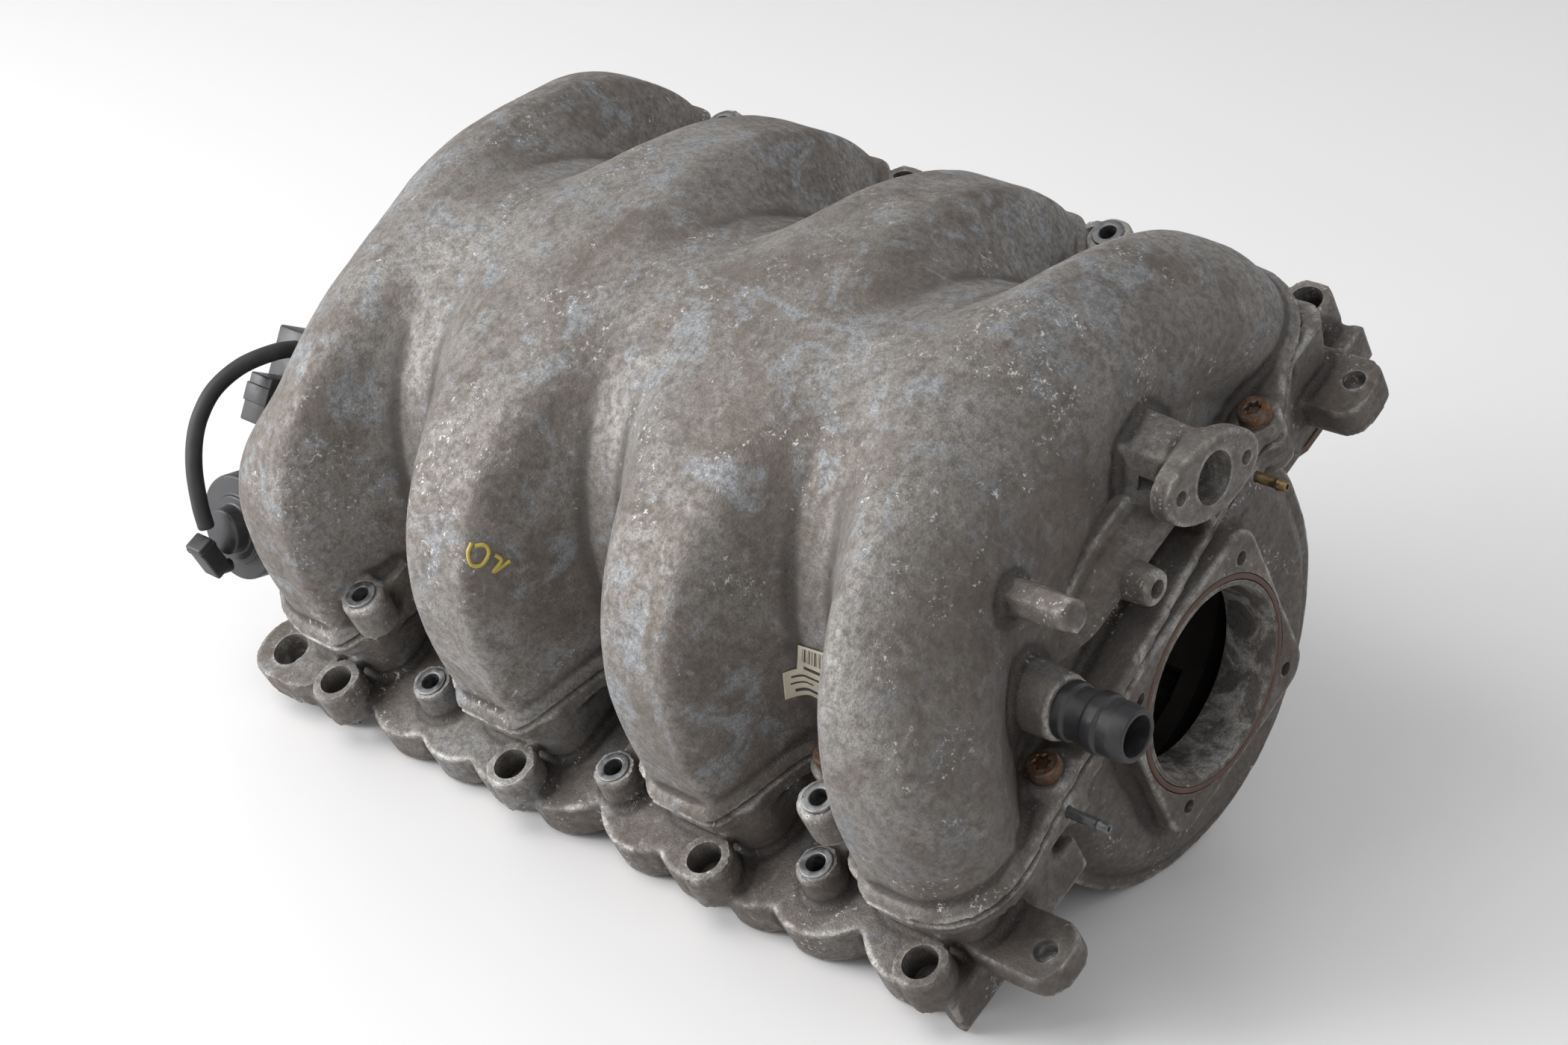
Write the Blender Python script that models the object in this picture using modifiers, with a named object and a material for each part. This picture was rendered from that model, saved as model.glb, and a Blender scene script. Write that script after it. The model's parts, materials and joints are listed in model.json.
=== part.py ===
"""Two-bank intake manifold for a V8 engine, lying on its side the way it rests on a bench.

Every shape is placed in the engine frame: x across the banks (near bank at -x), y along the crankshaft
(throttle at -y), z up from the tops of the flange bosses.  The empty "resting_pose" then rolls that
frame onto the bench.
"""

import math

import bmesh
import bpy
from mathutils import Matrix, Vector

# ---------------------------------------------------------------- driving dimensions (metres)
PITCH = 0.106                      # distance between cylinder bores
RUNNERS = 4                        # runners on each bank
REST_AT = Vector((0.0021, -0.0194, 0.1139))
GAP = 0.0003                       # clearance left between touching pieces
WALL = 0.004                       # casting wall

# upper shell
SEAM_Z = 0.018                     # height of the joint between the two shells
FIRST_CREST = -0.139              # first runner crest at x = 0
SHEAR = 0.122                      # the far runners sit this much further back per metre of width
CREST_HALF_WIDTH, CREST_RISE = 0.150, 0.113
VALLEY_HALF_WIDTH, VALLEY_RISE = 0.103, 0.111
CREST_POWER = {-1: 3.0, 1: 1.68}    # squareness of the arch on the near (-1) and far (+1) side
VALLEY_POWER = {-1: 2.3, 1: 1.55}
CORNER_LOW = 0.030                 # rounding of the end walls at the seam; "top" is the rounding at the top
WALL_SCALE = 0.135                 # size of the end wall that the rounding is taken from
FRONT_END = {"wall": -0.158, "near": -0.174, "far": -0.165, "sign": -1, "top": 0.060}
REAR_END = {"wall": 0.196, "near": 0.213, "far": 0.212, "sign": 1, "top": 0.042}
FRONT_LEDGE, REAR_LEDGE = -0.178, 0.192
LEDGE_TOP = 0.025

# lower shell
DRUM_RADIUS, DRUM_Z = 0.090, -0.028
DRUM_FRONT, DRUM_REAR = -0.163, 0.199
DECK_BOTTOM = 0.009
FLANGE_BOTTOM, FLANGE_TOP = -0.032, -0.014
BANK_X = 0.160                     # bolt line of each bank
BANK_OFFSET = 0.036                # far bank sits this much further back
FIRST_NEAR_BOLT = -0.166
FOOT_X = 0.119
BORE_RADIUS = 0.0385
THROTTLE_Y, THROTTLE_Z = -0.181, -0.0285
LOBE_REACH, FLANGE_EDGE = 0.166, 0.137  # outer edge of the flange at a runner, and between two
THROTTLE_BOLT = 0.035              # half the spacing of the throttle body's screws
PORT_WIDTH, PORT_LENGTH = 0.036, 0.042
GROOVE_WIDTH, GROOVE_DEPTH = 0.004, 0.003

# it lies on its drum and on the near flange: the roll at which both touch the bench
ROLL = math.asin(DRUM_RADIUS / math.hypot(LOBE_REACH, FLANGE_BOTTOM - DRUM_Z)) + math.atan2(
    FLANGE_BOTTOM - DRUM_Z, LOBE_REACH)

# flap mechanism
SHAFT_X, SHAFT_Z = 0.0575, 0.001
SHAFT_RADIUS = 0.003
ROD_DIRECTION = Vector((0.82, 0.0, -0.57)).normalized()
ROD_SIDE = Vector((0.57, 0.0, 0.82)).normalized()
CAN_END = Vector((-0.095, 0.228, 0.006))
LEVER_ARM = 0.0173
LINK_ARM = 0.018
HALF_SWING = math.radians(35.0)
BUSH_RADIUS = 0.0060
TUBE_RADIUS, TUBE_WALL = 0.064, 0.003      # inner plenum tube that carries the flaps
TUBE_FRONT, TUBE_REAR = -0.140, 0.171
WINDOW_PLACES = (-0.112, -0.033, 0.073, 0.147)
WINDOW_LENGTH, WINDOW_WIDTH = 0.038, 0.031
LEVER_FRONT, LEVER_REAR = 0.2035, 0.2225
BRACKET_Y = 0.1994
BRACKET_BOLTS = [(-0.128, -0.002), (-0.104, -0.016)]
LINK_LOW, LINK_HIGH = LEVER_FRONT + 0.0034, LEVER_FRONT + 0.0064
CAN_RADIUS, CAN_RIM, CAN_BORE = 0.0235, 0.0260, 0.0210
BASE_LENGTH, COVER_END, STUB_END = 0.0193, 0.0400, 0.0480
STROKE = 2 * LEVER_ARM * math.sin(HALF_SWING)
PISTON_AT = 0.0030
BRACKET_THICKNESS = 0.0020

# fasteners, sleeves and small cast features
TORX_X, TORX_HEAD = 0.1125, 0.0065
SLEEVE_X = 0.143
TAB_SLEEVES = [(-0.137, 0.131), (-0.135, -0.117), (0.136, 0.150), (0.136, -0.062)]
TAB_TOP = 0.040
SLEEVE_BOTTOM = -0.0130
NOZZLE_SEAT = -0.185
AIR_PORT_Y = -0.185
AIR_PORT_EAR = 0.020 * Vector((math.cos(math.radians(26)), 0.0, -math.sin(math.radians(26))))
LUGS = [
    {"centre": (-0.133, -0.190), "size": (0.027, 0.044), "radius": 0.010, "levels": (-0.018, -0.006),
     "hole": (-0.134, -0.202), "hole_radius": 0.0047},
    {"centre": (0.131, -0.152), "size": (0.030, 0.050), "radius": 0.010, "levels": (-0.020, -0.006),
     "hole": (0.134, -0.167), "hole_radius": 0.0047},
    {"centre": (-0.152, 0.190), "size": (0.032, 0.044), "radius": 0.014, "levels": (-0.024, -0.010),
     "hole": (-0.153, 0.195), "hole_radius": 0.0080},
    {"centre": (0.152, 0.228), "size": (0.032, 0.044), "radius": 0.014, "levels": (-0.024, -0.010),
     "hole": (0.153, 0.232), "hole_radius": 0.0080},
]
NIPPLES = [Vector((0.0665, 0.0, 0.0135)), Vector((-0.0900, 0.0, 0.0135))]
NIPPLE_RADIUS = 0.0021

# solenoid valve and hose
VALVE_UP = Vector((0.81, 0.0, 0.59)).normalized()
VALVE_SIDE = Vector((0.59, 0.0, -0.81)).normalized()
VALVE_CENTRE = Vector((-0.0548, 0.2320, 0.0555))
VALVE_SIZE = Vector((0.026, 0.022, 0.026))         # along VALVE_SIDE, y and VALVE_UP
VALVE_TURN = Matrix((VALVE_SIDE, Vector((0, 1, 0)), VALVE_UP)).transposed().to_4x4()
HOSE_RADIUS = 0.00365
HOSE_ROUTE = [(-0.0585, 0.2260, 0.0710), (-0.0672, 0.2285, 0.0772), (-0.0810, 0.2335, 0.0815),
              (-0.0955, 0.2360, 0.0820), (-0.1075, 0.2360, 0.0785), (-0.1170, 0.2352, 0.0723),
              (-0.1262, 0.2330, 0.0630), (-0.1342, 0.2302, 0.0508), (-0.1388, 0.2280, 0.0416)]

MODEL_NAME = "intake_manifold"


# ---------------------------------------------------------------- scene and materials
def clear_scene():
    for obj in list(bpy.data.objects):
        bpy.data.objects.remove(obj, do_unlink=True)


def new_collection(name):
    collection = bpy.data.collections.new(name)
    bpy.context.scene.collection.children.link(collection)
    return collection


def new_material(name, colour, roughness, metallic):
    material = bpy.data.materials.new(name)
    material.use_nodes = True
    shader = material.node_tree.nodes["Principled BSDF"]
    shader.inputs["Base Color"].default_value = (*colour, 1.0)
    shader.inputs["Roughness"].default_value = roughness
    shader.inputs["Metallic"].default_value = metallic
    return material


clear_scene()
PARTS = new_collection(MODEL_NAME)
GUIDES = new_collection("cutters")
REST = bpy.data.objects.new("resting_pose", None)
GUIDES.objects.link(REST)
REST.rotation_euler = (0.0, -ROLL, 0.0)
REST.location = REST_AT

CASTING = new_material("magnesium_casting", (0.24, 0.22, 0.20), 0.62, 0.55)
SLEEVE_STEEL = new_material("sleeve_steel", (0.30, 0.30, 0.31), 0.45, 0.9)
BOLT_STEEL = new_material("bolt_steel", (0.22, 0.15, 0.11), 0.6, 0.8)
SHAFT_STEEL = new_material("shaft_steel", (0.45, 0.45, 0.46), 0.35, 1.0)
BRASS = new_material("brass", (0.36, 0.27, 0.15), 0.45, 0.9)
BLACK_PLASTIC = new_material("black_plastic", (0.028, 0.027, 0.028), 0.5, 0.0)
BLACK_RUBBER = new_material("black_rubber", (0.022, 0.021, 0.022), 0.7, 0.0)
SEAL_RUBBER = new_material("seal_rubber", (0.10, 0.055, 0.035), 0.7, 0.0)


# ---------------------------------------------------------------- shape helpers
def add_object(name, mesh, collection, material=None, at=(0, 0, 0)):
    obj = bpy.data.objects.new(name, mesh)
    collection.objects.link(obj)
    obj.parent = REST
    obj.location = at
    if material is not None:
        mesh.materials.append(material)
        mesh.shade_smooth()
        mesh.set_sharp_from_angle(angle=math.radians(35))
    if collection is not PARTS:
        obj.hide_render = True
        obj.display_type = "WIRE"
    return obj


def to_mesh(name, bm):
    bmesh.ops.recalc_face_normals(bm, faces=bm.faces)
    mesh = bpy.data.meshes.new(name)
    bm.to_mesh(mesh)
    bm.free()
    return mesh


def turn_z_to(direction):
    return Vector((0, 0, 1)).rotation_difference(Vector(direction).normalized()).to_matrix().to_4x4()


def cylinder_mesh(radius, start, end, sides=24, end_radius=None):
    """A round bar or cone from start to end."""
    start, end = Vector(start), Vector(end)
    bm = bmesh.new()
    bmesh.ops.create_cone(
        bm, cap_ends=True, segments=sides, radius1=radius,
        radius2=radius if end_radius is None else end_radius, depth=(end - start).length,
        matrix=Matrix.Translation((start + end) / 2) @ turn_z_to(end - start),
    )
    return to_mesh("cylinder", bm)


def box_mesh(size, centre, turn=None):
    bm = bmesh.new()
    matrix = Matrix.Translation(centre) @ (turn or Matrix.Identity(4)) @ Matrix.Diagonal((*size, 1.0))
    bmesh.ops.create_cube(bm, size=1.0, matrix=matrix)
    return to_mesh("box", bm)


def ring_mesh(outer, inner, start, end, sides=24):
    """A plain sleeve: an outer and an inner wall joined by two flat rings."""
    start, end = Vector(start), Vector(end)
    turn = turn_z_to(end - start)
    bm = bmesh.new()
    loops = []
    for centre, radius in ((start, outer), (end, outer), (end, inner), (start, inner)):
        circle = bmesh.ops.create_circle(bm, segments=sides, radius=radius,
                                         matrix=Matrix.Translation(centre) @ turn)
        loops.append(circle["verts"])
    for first, second in zip(loops, loops[1:] + loops[:1]):
        for i in range(sides):
            j = (i + 1) % sides
            bm.faces.new((first[i], first[j], second[j], second[i]))
    return to_mesh("ring", bm)


def turned_mesh(profile, start, direction, sides=20):
    """A closed profile of (radius, height) points, turned about the line from start along direction."""
    mesh = bpy.data.meshes.new("profile")
    count = len(profile)
    edges = [(i, (i + 1) % count) for i in range(count)]
    mesh.from_pydata([(radius, 0.0, height) for radius, height in profile], edges, [])
    holder = bpy.data.objects.new("profile", mesh)
    GUIDES.objects.link(holder)
    screw = holder.modifiers.new("turn", "SCREW")
    screw.steps = screw.render_steps = sides
    screw.use_merge_vertices = True
    screw.merge_threshold = 0.00001
    bpy.context.view_layer.update()
    turned = bpy.data.meshes.new_from_object(holder.evaluated_get(bpy.context.evaluated_depsgraph_get()))
    bpy.data.objects.remove(holder, do_unlink=True)
    bm = bmesh.new()
    bm.from_mesh(turned)
    bmesh.ops.remove_doubles(bm, verts=bm.verts, dist=0.00001)
    bmesh.ops.transform(bm, matrix=Matrix.Translation(start) @ turn_z_to(direction), verts=bm.verts)
    return to_mesh("turned", bm)


def plate_mesh(outline, low, high):
    """A flat outline in x and y, extruded from low to high."""
    curve = bpy.data.curves.new("outline", "CURVE")
    curve.dimensions = "2D"
    curve.fill_mode = "BOTH"
    curve.extrude = (high - low) / 2
    spline = curve.splines.new("POLY")
    spline.points.add(len(outline) - 1)
    for point, (x, y) in zip(spline.points, outline):
        point.co = (x, y, 0.0, 1.0)
    spline.use_cyclic_u = True
    holder = bpy.data.objects.new("outline", curve)
    GUIDES.objects.link(holder)
    bpy.context.view_layer.update()
    mesh = bpy.data.meshes.new_from_object(holder.evaluated_get(bpy.context.evaluated_depsgraph_get()))
    bpy.data.objects.remove(holder, do_unlink=True)
    bm = bmesh.new()
    bm.from_mesh(mesh)
    bmesh.ops.remove_doubles(bm, verts=bm.verts, dist=0.00001)
    bmesh.ops.translate(bm, verts=bm.verts, vec=(0, 0, (low + high) / 2))
    return to_mesh("plate", bm)


def loft_mesh(rings):
    """Skin a closed solid over rings that all have the same number of points."""
    bm = bmesh.new()
    loops = [[bm.verts.new(point) for point in ring] for ring in rings]
    for first, second in zip(loops, loops[1:]):
        for i in range(len(first)):
            j = (i + 1) % len(first)
            bm.faces.new((first[i], first[j], second[j], second[i]))
    bm.faces.new(loops[0])
    bm.faces.new(loops[-1])
    return to_mesh("loft", bm)


def rounded_rectangle(centre, width, length, radius, z, steps=2):
    """Points of a rectangle with round corners, anticlockwise, at height z."""
    points = []
    for quarter in range(4):
        sx, sy = ((1, 1), (-1, 1), (-1, -1), (1, -1))[quarter]
        corner = (centre[0] + sx * (width / 2 - radius), centre[1] + sy * (length / 2 - radius))
        for step in range(steps + 1):
            angle = math.pi / 2 * (quarter + step / steps)
            points.append((corner[0] + radius * math.cos(angle), corner[1] + radius * math.sin(angle), z))
    return points


def add_wire(name, points, radius, material, resolution=2):
    """A hose or spring along the points: a curve with a round bevel and filled caps."""
    curve = bpy.data.curves.new(name, "CURVE")
    curve.dimensions = "3D"
    curve.bevel_depth = radius
    curve.bevel_resolution = resolution
    curve.use_fill_caps = True
    curve.render_resolution_u = 0
    curve.materials.append(material)
    spline = curve.splines.new("POLY")
    spline.points.add(len(points) - 1)
    for point, place in zip(spline.points, points):
        point.co = (*place, 1.0)
    obj = bpy.data.objects.new(name, curve)
    PARTS.objects.link(obj)
    obj.parent = REST
    return obj


def smooth_route(points, per_span):
    """Catmull-Rom points through the given ones."""
    points = [Vector(p) for p in points]
    padded = [2 * points[0] - points[1], *points, 2 * points[-1] - points[-2]]
    route = []
    for a, b, c, d in zip(padded, padded[1:], padded[2:], padded[3:]):
        for step in range(per_span):
            t = step / per_span
            route.append(0.5 * (2 * b + (c - a) * t + (2 * a - 5 * b + 4 * c - d) * t**2
                                + (3 * b - a - 3 * c + d) * t**3))
    route.append(points[-1])
    return route


class Builder:
    """A piece made by joining solids to a base and then cutting holes in it."""

    def __init__(self, name, base, material, at=(0, 0, 0)):
        self.name = name
        self.additions = bpy.data.collections.new(name + "_additions")
        self.holes = bpy.data.collections.new(name + "_holes")
        for collection in (self.additions, self.holes):
            GUIDES.children.link(collection)
        self.object = add_object(name, base, PARTS, material, at)
        self.at = at

    def add(self, mesh):
        add_object(self.name + "_add", mesh, self.additions, at=self.at)

    def cut(self, mesh):
        add_object(self.name + "_hole", mesh, self.holes, at=self.at)

    def finish(self):
        for operation, collection in (("UNION", self.additions), ("DIFFERENCE", self.holes)):
            if collection.objects:
                boolean = self.object.modifiers.new(operation.lower(), "BOOLEAN")
                boolean.operation = operation
                boolean.operand_type = "COLLECTION"
                boolean.collection = collection
                boolean.solver = "EXACT"
        return self.object


# ---------------------------------------------------------------- the runner arch
def smooth_step(low, high, value):
    t = min(1.0, max(0.0, (value - low) / (high - low)))
    return t * t * (3 - 2 * t)


def crest_places():
    return [FIRST_CREST + PITCH * i for i in range(RUNNERS)]


def ridge_weight(s):
    """1 on a runner's crest, 0 in the valley between two; full on the outer flanks of the end runners."""
    crests = crest_places()
    if s < crests[0] or s > crests[-1]:
        return 1.0
    nearest = min(abs(s - crest) for crest in crests)
    return 1.0 - smooth_step(0.25, 0.85, nearest / (PITCH / 2))


def arch_point(turn, s, scale=1.0, inset=0.0):
    """The arch's outline at s, as x and height: turn runs from 0 at the near seam to pi at the far seam."""
    cosine, sine = math.cos(turn), abs(math.sin(turn))
    side = -1 if cosine > 0 else 1

    def profile(half_width, rise, power):
        x = side * (half_width - inset) * abs(cosine) ** (2 / power)
        return Vector((x, (rise - inset) * sine ** (2 / power)))

    crest = profile(CREST_HALF_WIDTH, CREST_RISE, CREST_POWER[side])
    valley = profile(VALLEY_HALF_WIDTH, VALLEY_RISE, VALLEY_POWER[side])
    return scale * valley.lerp(crest, ridge_weight(s))


def end_shape(turn, end):
    """Where the skin ends along s, and its corner radius; the runners bulge past the wall between them."""
    across = -math.cos(turn)
    reach = end["near"] if across < 0 else end["far"]
    bulge = smooth_step(0.55, 0.95, abs(across))
    radius = end["top"] + (CORNER_LOW - end["top"]) * abs(across)
    return end["wall"] + (reach - end["wall"]) * bulge, radius


def wall_station(fraction, end):
    """A ring on the end wall, from its pole (0) to the start of the rounded corner (1)."""
    def place(turn):
        reach, radius = end_shape(turn, end)
        s = end["wall"] + (reach - end["wall"]) * smooth_step(0.70, 1.0, fraction)
        return reach, s, fraction * (1.0 - radius / WALL_SCALE)
    return place


def corner_station(phi, end):
    """A ring on the rounded corner between the end wall (phi = 0) and the arch (phi = 90 degrees)."""
    def place(turn):
        reach, radius = end_shape(turn, end)
        s = reach - end["sign"] * radius * (1.0 - math.cos(phi))
        return s, s, 1.0 - radius / WALL_SCALE * (1.0 - math.sin(phi))
    return place


def body_station(step):
    """A ring on the arch between the two corners."""
    def place(turn):
        front, front_radius = end_shape(turn, FRONT_END)
        rear, rear_radius = end_shape(turn, REAR_END)
        s = front + front_radius + (rear - rear_radius - front - front_radius) * step
        return s, s, 1.0
    return place


CORNER_ANGLES = (0, 30, 60)


def arch_stations(steps):
    wall = (0.0, 0.40, 0.75)
    corner = [math.radians(angle) for angle in CORNER_ANGLES]
    return (
        [wall_station(f, FRONT_END) for f in wall]
        + [corner_station(phi, FRONT_END) for phi in corner]
        + [body_station(i / steps) for i in range(steps + 1)]
        + [corner_station(phi, REAR_END) for phi in reversed(corner)]
        + [wall_station(f, REAR_END) for f in reversed(wall)]
    )


def skin_point(turn, station, inset=0.0):
    shape_s, s, scale = station(turn)
    x, height = arch_point(turn, shape_s, scale, inset)
    return Vector((x, s + SHEAR * x, SEAM_Z + GAP + height))


def arch_mesh(turns=16, steps=24):
    """The open skin of the upper shell, with a single point at the pole of each end wall."""
    bm = bmesh.new()
    rings = []
    for station in arch_stations(steps):
        rings.append([bm.verts.new(skin_point(math.pi * i / turns, station)) for i in range(turns + 1)])
    for first, second in zip(rings, rings[1:]):
        for i in range(turns):
            bm.faces.new((first[i], second[i], second[i + 1], first[i + 1]))
    bmesh.ops.remove_doubles(bm, verts=bm.verts, dist=0.00005)
    return to_mesh("arch", bm)


def seam_outline(grow, front_edge, rear_edge, steps=18):
    """The outline of the joint: the foot of the arch grown outward, closed by a straight edge at each end."""
    corner = [math.radians(angle) for angle in CORNER_ANGLES]
    stations = [(corner_station(phi, FRONT_END), -math.cos(phi), math.sin(phi)) for phi in corner]
    stations += [(body_station(i / steps), 0.0, 1.0) for i in range(steps + 1)]
    stations += [(corner_station(phi, REAR_END), math.cos(phi), math.sin(phi)) for phi in reversed(corner)]

    def side(turn, sign):
        points = []
        for station, along, outward in stations:
            _, s, scale = station(turn)
            x = sign * (abs(arch_point(turn, station(turn)[0], scale).x) + grow * outward)
            points.append((x, s + grow * along + SHEAR * x))
        return points

    near, far = side(0.0, -1), side(math.pi, 1)
    edge_x = 0.095
    front = [(x, front_edge + SHEAR * x) for x in (edge_x, -edge_x)]
    rear = [(x, rear_edge + SHEAR * x) for x in (-edge_x, edge_x)]
    return near + rear + far[::-1] + front


# ---------------------------------------------------------------- places that repeat
def runner_feet():
    """Side, centre of the foot and centre of its flange bolt, for each of the eight runners."""
    feet = []
    for side in (-1, 1):
        for i, crest in enumerate(crest_places()):
            x = side * FOOT_X
            bolt_y = FIRST_NEAR_BOLT + PITCH * i + (BANK_OFFSET if side > 0 else 0.0)
            feet.append((side, Vector((x, crest + SHEAR * x)), Vector((side * BANK_X, bolt_y))))
    return feet


def valley_places(x):
    return [(x, crest + PITCH / 2 + SHEAR * x) for crest in crest_places()[:-1]]


SEAM_BOLTS = valley_places(-TORX_X) + valley_places(TORX_X) + [(-0.084, -0.179), (0.084, -0.162)]
FLANGE_SLEEVES = valley_places(-SLEEVE_X) + valley_places(SLEEVE_X)


# ---------------------------------------------------------------- castings
def build_upper_shell():
    skin = add_object("skin", arch_mesh(), GUIDES)
    wall = skin.modifiers.new("wall", "SOLIDIFY")
    wall.thickness = WALL
    wall.offset = -1.0
    bpy.context.view_layer.update()
    mesh = bpy.data.meshes.new_from_object(skin.evaluated_get(bpy.context.evaluated_depsgraph_get()))
    bpy.data.objects.remove(skin, do_unlink=True)
    shell = Builder("upper_shell", mesh, CASTING)
    low, top = SEAM_Z + GAP, LEDGE_TOP

    shell.add(plate_mesh(seam_outline(0.0035, FRONT_LEDGE, REAR_LEDGE), low + 0.0002, top))
    shell.cut(plate_mesh(seam_outline(-WALL - 0.0004, FRONT_END["wall"] + 0.006, REAR_END["wall"] - 0.006),
                         low - 0.010, top + 0.0005))
    for x, y in SEAM_BOLTS:
        shell.add(cylinder_mesh(0.0095, (x, y, low + 0.0001), (x, y, top + 0.0004), 10))
        shell.cut(cylinder_mesh(0.0034, (x, y, low - 0.010), (x, y, top + 0.010), 8))
        shell.cut(cylinder_mesh(0.0074, (x, y, top + 0.0004), (x, y, top + 0.0120), 10))
    for x, y in TAB_SLEEVES:
        inner = x - math.copysign(0.020, x)
        shell.add(cylinder_mesh(0.0095, (x, y, low + 0.004), (x, y, TAB_TOP), 10))
        shell.add(box_mesh((0.026, 0.010, 0.018), ((x + inner) / 2, y, TAB_TOP - 0.012)))
        shell.cut(cylinder_mesh(0.0070, (x, y, low - 0.010), (x, y, TAB_TOP + 0.010), 12))

    # breather boss, air port, angled stub and small boss on the front wall
    shell.add(cylinder_mesh(0.0150, (-0.068, -0.150, 0.046), (-0.068, NOZZLE_SEAT, 0.046), 24, 0.0125))
    shell.cut(cylinder_mesh(0.0083, (-0.068, -0.120, 0.046), (-0.068, NOZZLE_SEAT - 0.010, 0.046), 20))
    port = Vector((0.034, AIR_PORT_Y, 0.057))
    shell.add(air_port_mesh(port))
    shell.add(cylinder_mesh(0.020, (0.030, -0.143, 0.057), port + Vector((0, 0.004, 0)), 20, 0.0165))
    shell.cut(cylinder_mesh(0.0104, (port.x, -0.110, port.z), (port.x, AIR_PORT_Y - 0.010, port.z), 20))
    for sign in (-1, 1):
        hole = port + sign * AIR_PORT_EAR
        shell.cut(cylinder_mesh(0.0030, hole + Vector((0, 0.020, 0)), hole + Vector((0, -0.010, 0)), 10))
    shell.add(cylinder_mesh(0.0090, (-0.052, -0.150, 0.080), (-0.057, -0.199, 0.093), 12, 0.0058))
    shell.cut(box_mesh((0.40, 0.60, 0.020), (0, 0, low - 0.010)))
    shell.cut(box_mesh((0.044, 0.012, 0.016), (0.0600, LEVER_FRONT - 0.0006 + 0.006, SEAM_Z + 0.004)))
    return shell.finish()


def air_port_mesh(port):
    """An oval flange with its long axis along the line of its two screw holes."""
    along = AIR_PORT_EAR.normalized()
    across = Vector((-along.z, 0.0, along.x))
    rings = []
    for depth in (0.0, 0.009):
        ring = []
        for i in range(20):
            angle = 2 * math.pi * i / 20
            place = along * 0.0285 * math.cos(angle) + across * 0.0165 * math.sin(angle)
            ring.append(port + place + Vector((0, depth, 0)))
        rings.append(ring)
    return loft_mesh(rings)


def flange_outline(side):
    """Outer edge with a round lobe at each runner, and a straight inner edge against the drum."""
    feet = [foot for foot in runner_feet() if foot[0] == side]
    lobes = [foot.y + 0.004 for _, foot, _ in feet]
    low, high = lobes[0] - 0.030, lobes[-1] + 0.030
    points = []
    steps = 36
    for i in range(steps + 1):
        y = low + (high - low) * i / steps
        lobe = max(max(0.0, math.cos(math.pi * (y - centre) / 0.068)) for centre in lobes)
        points.append((side * (FLANGE_EDGE + (LOBE_REACH - FLANGE_EDGE) * lobe ** 0.8), y))
    points += [(side * 0.086, high), (side * 0.086, low)]
    return points


def foot_rings(foot, top, bottom, levels):
    return [rounded_rectangle(foot, width, length, radius, z)
            for z, width, length, radius in ((levels[0], *top), (levels[1], *bottom))]


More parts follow.
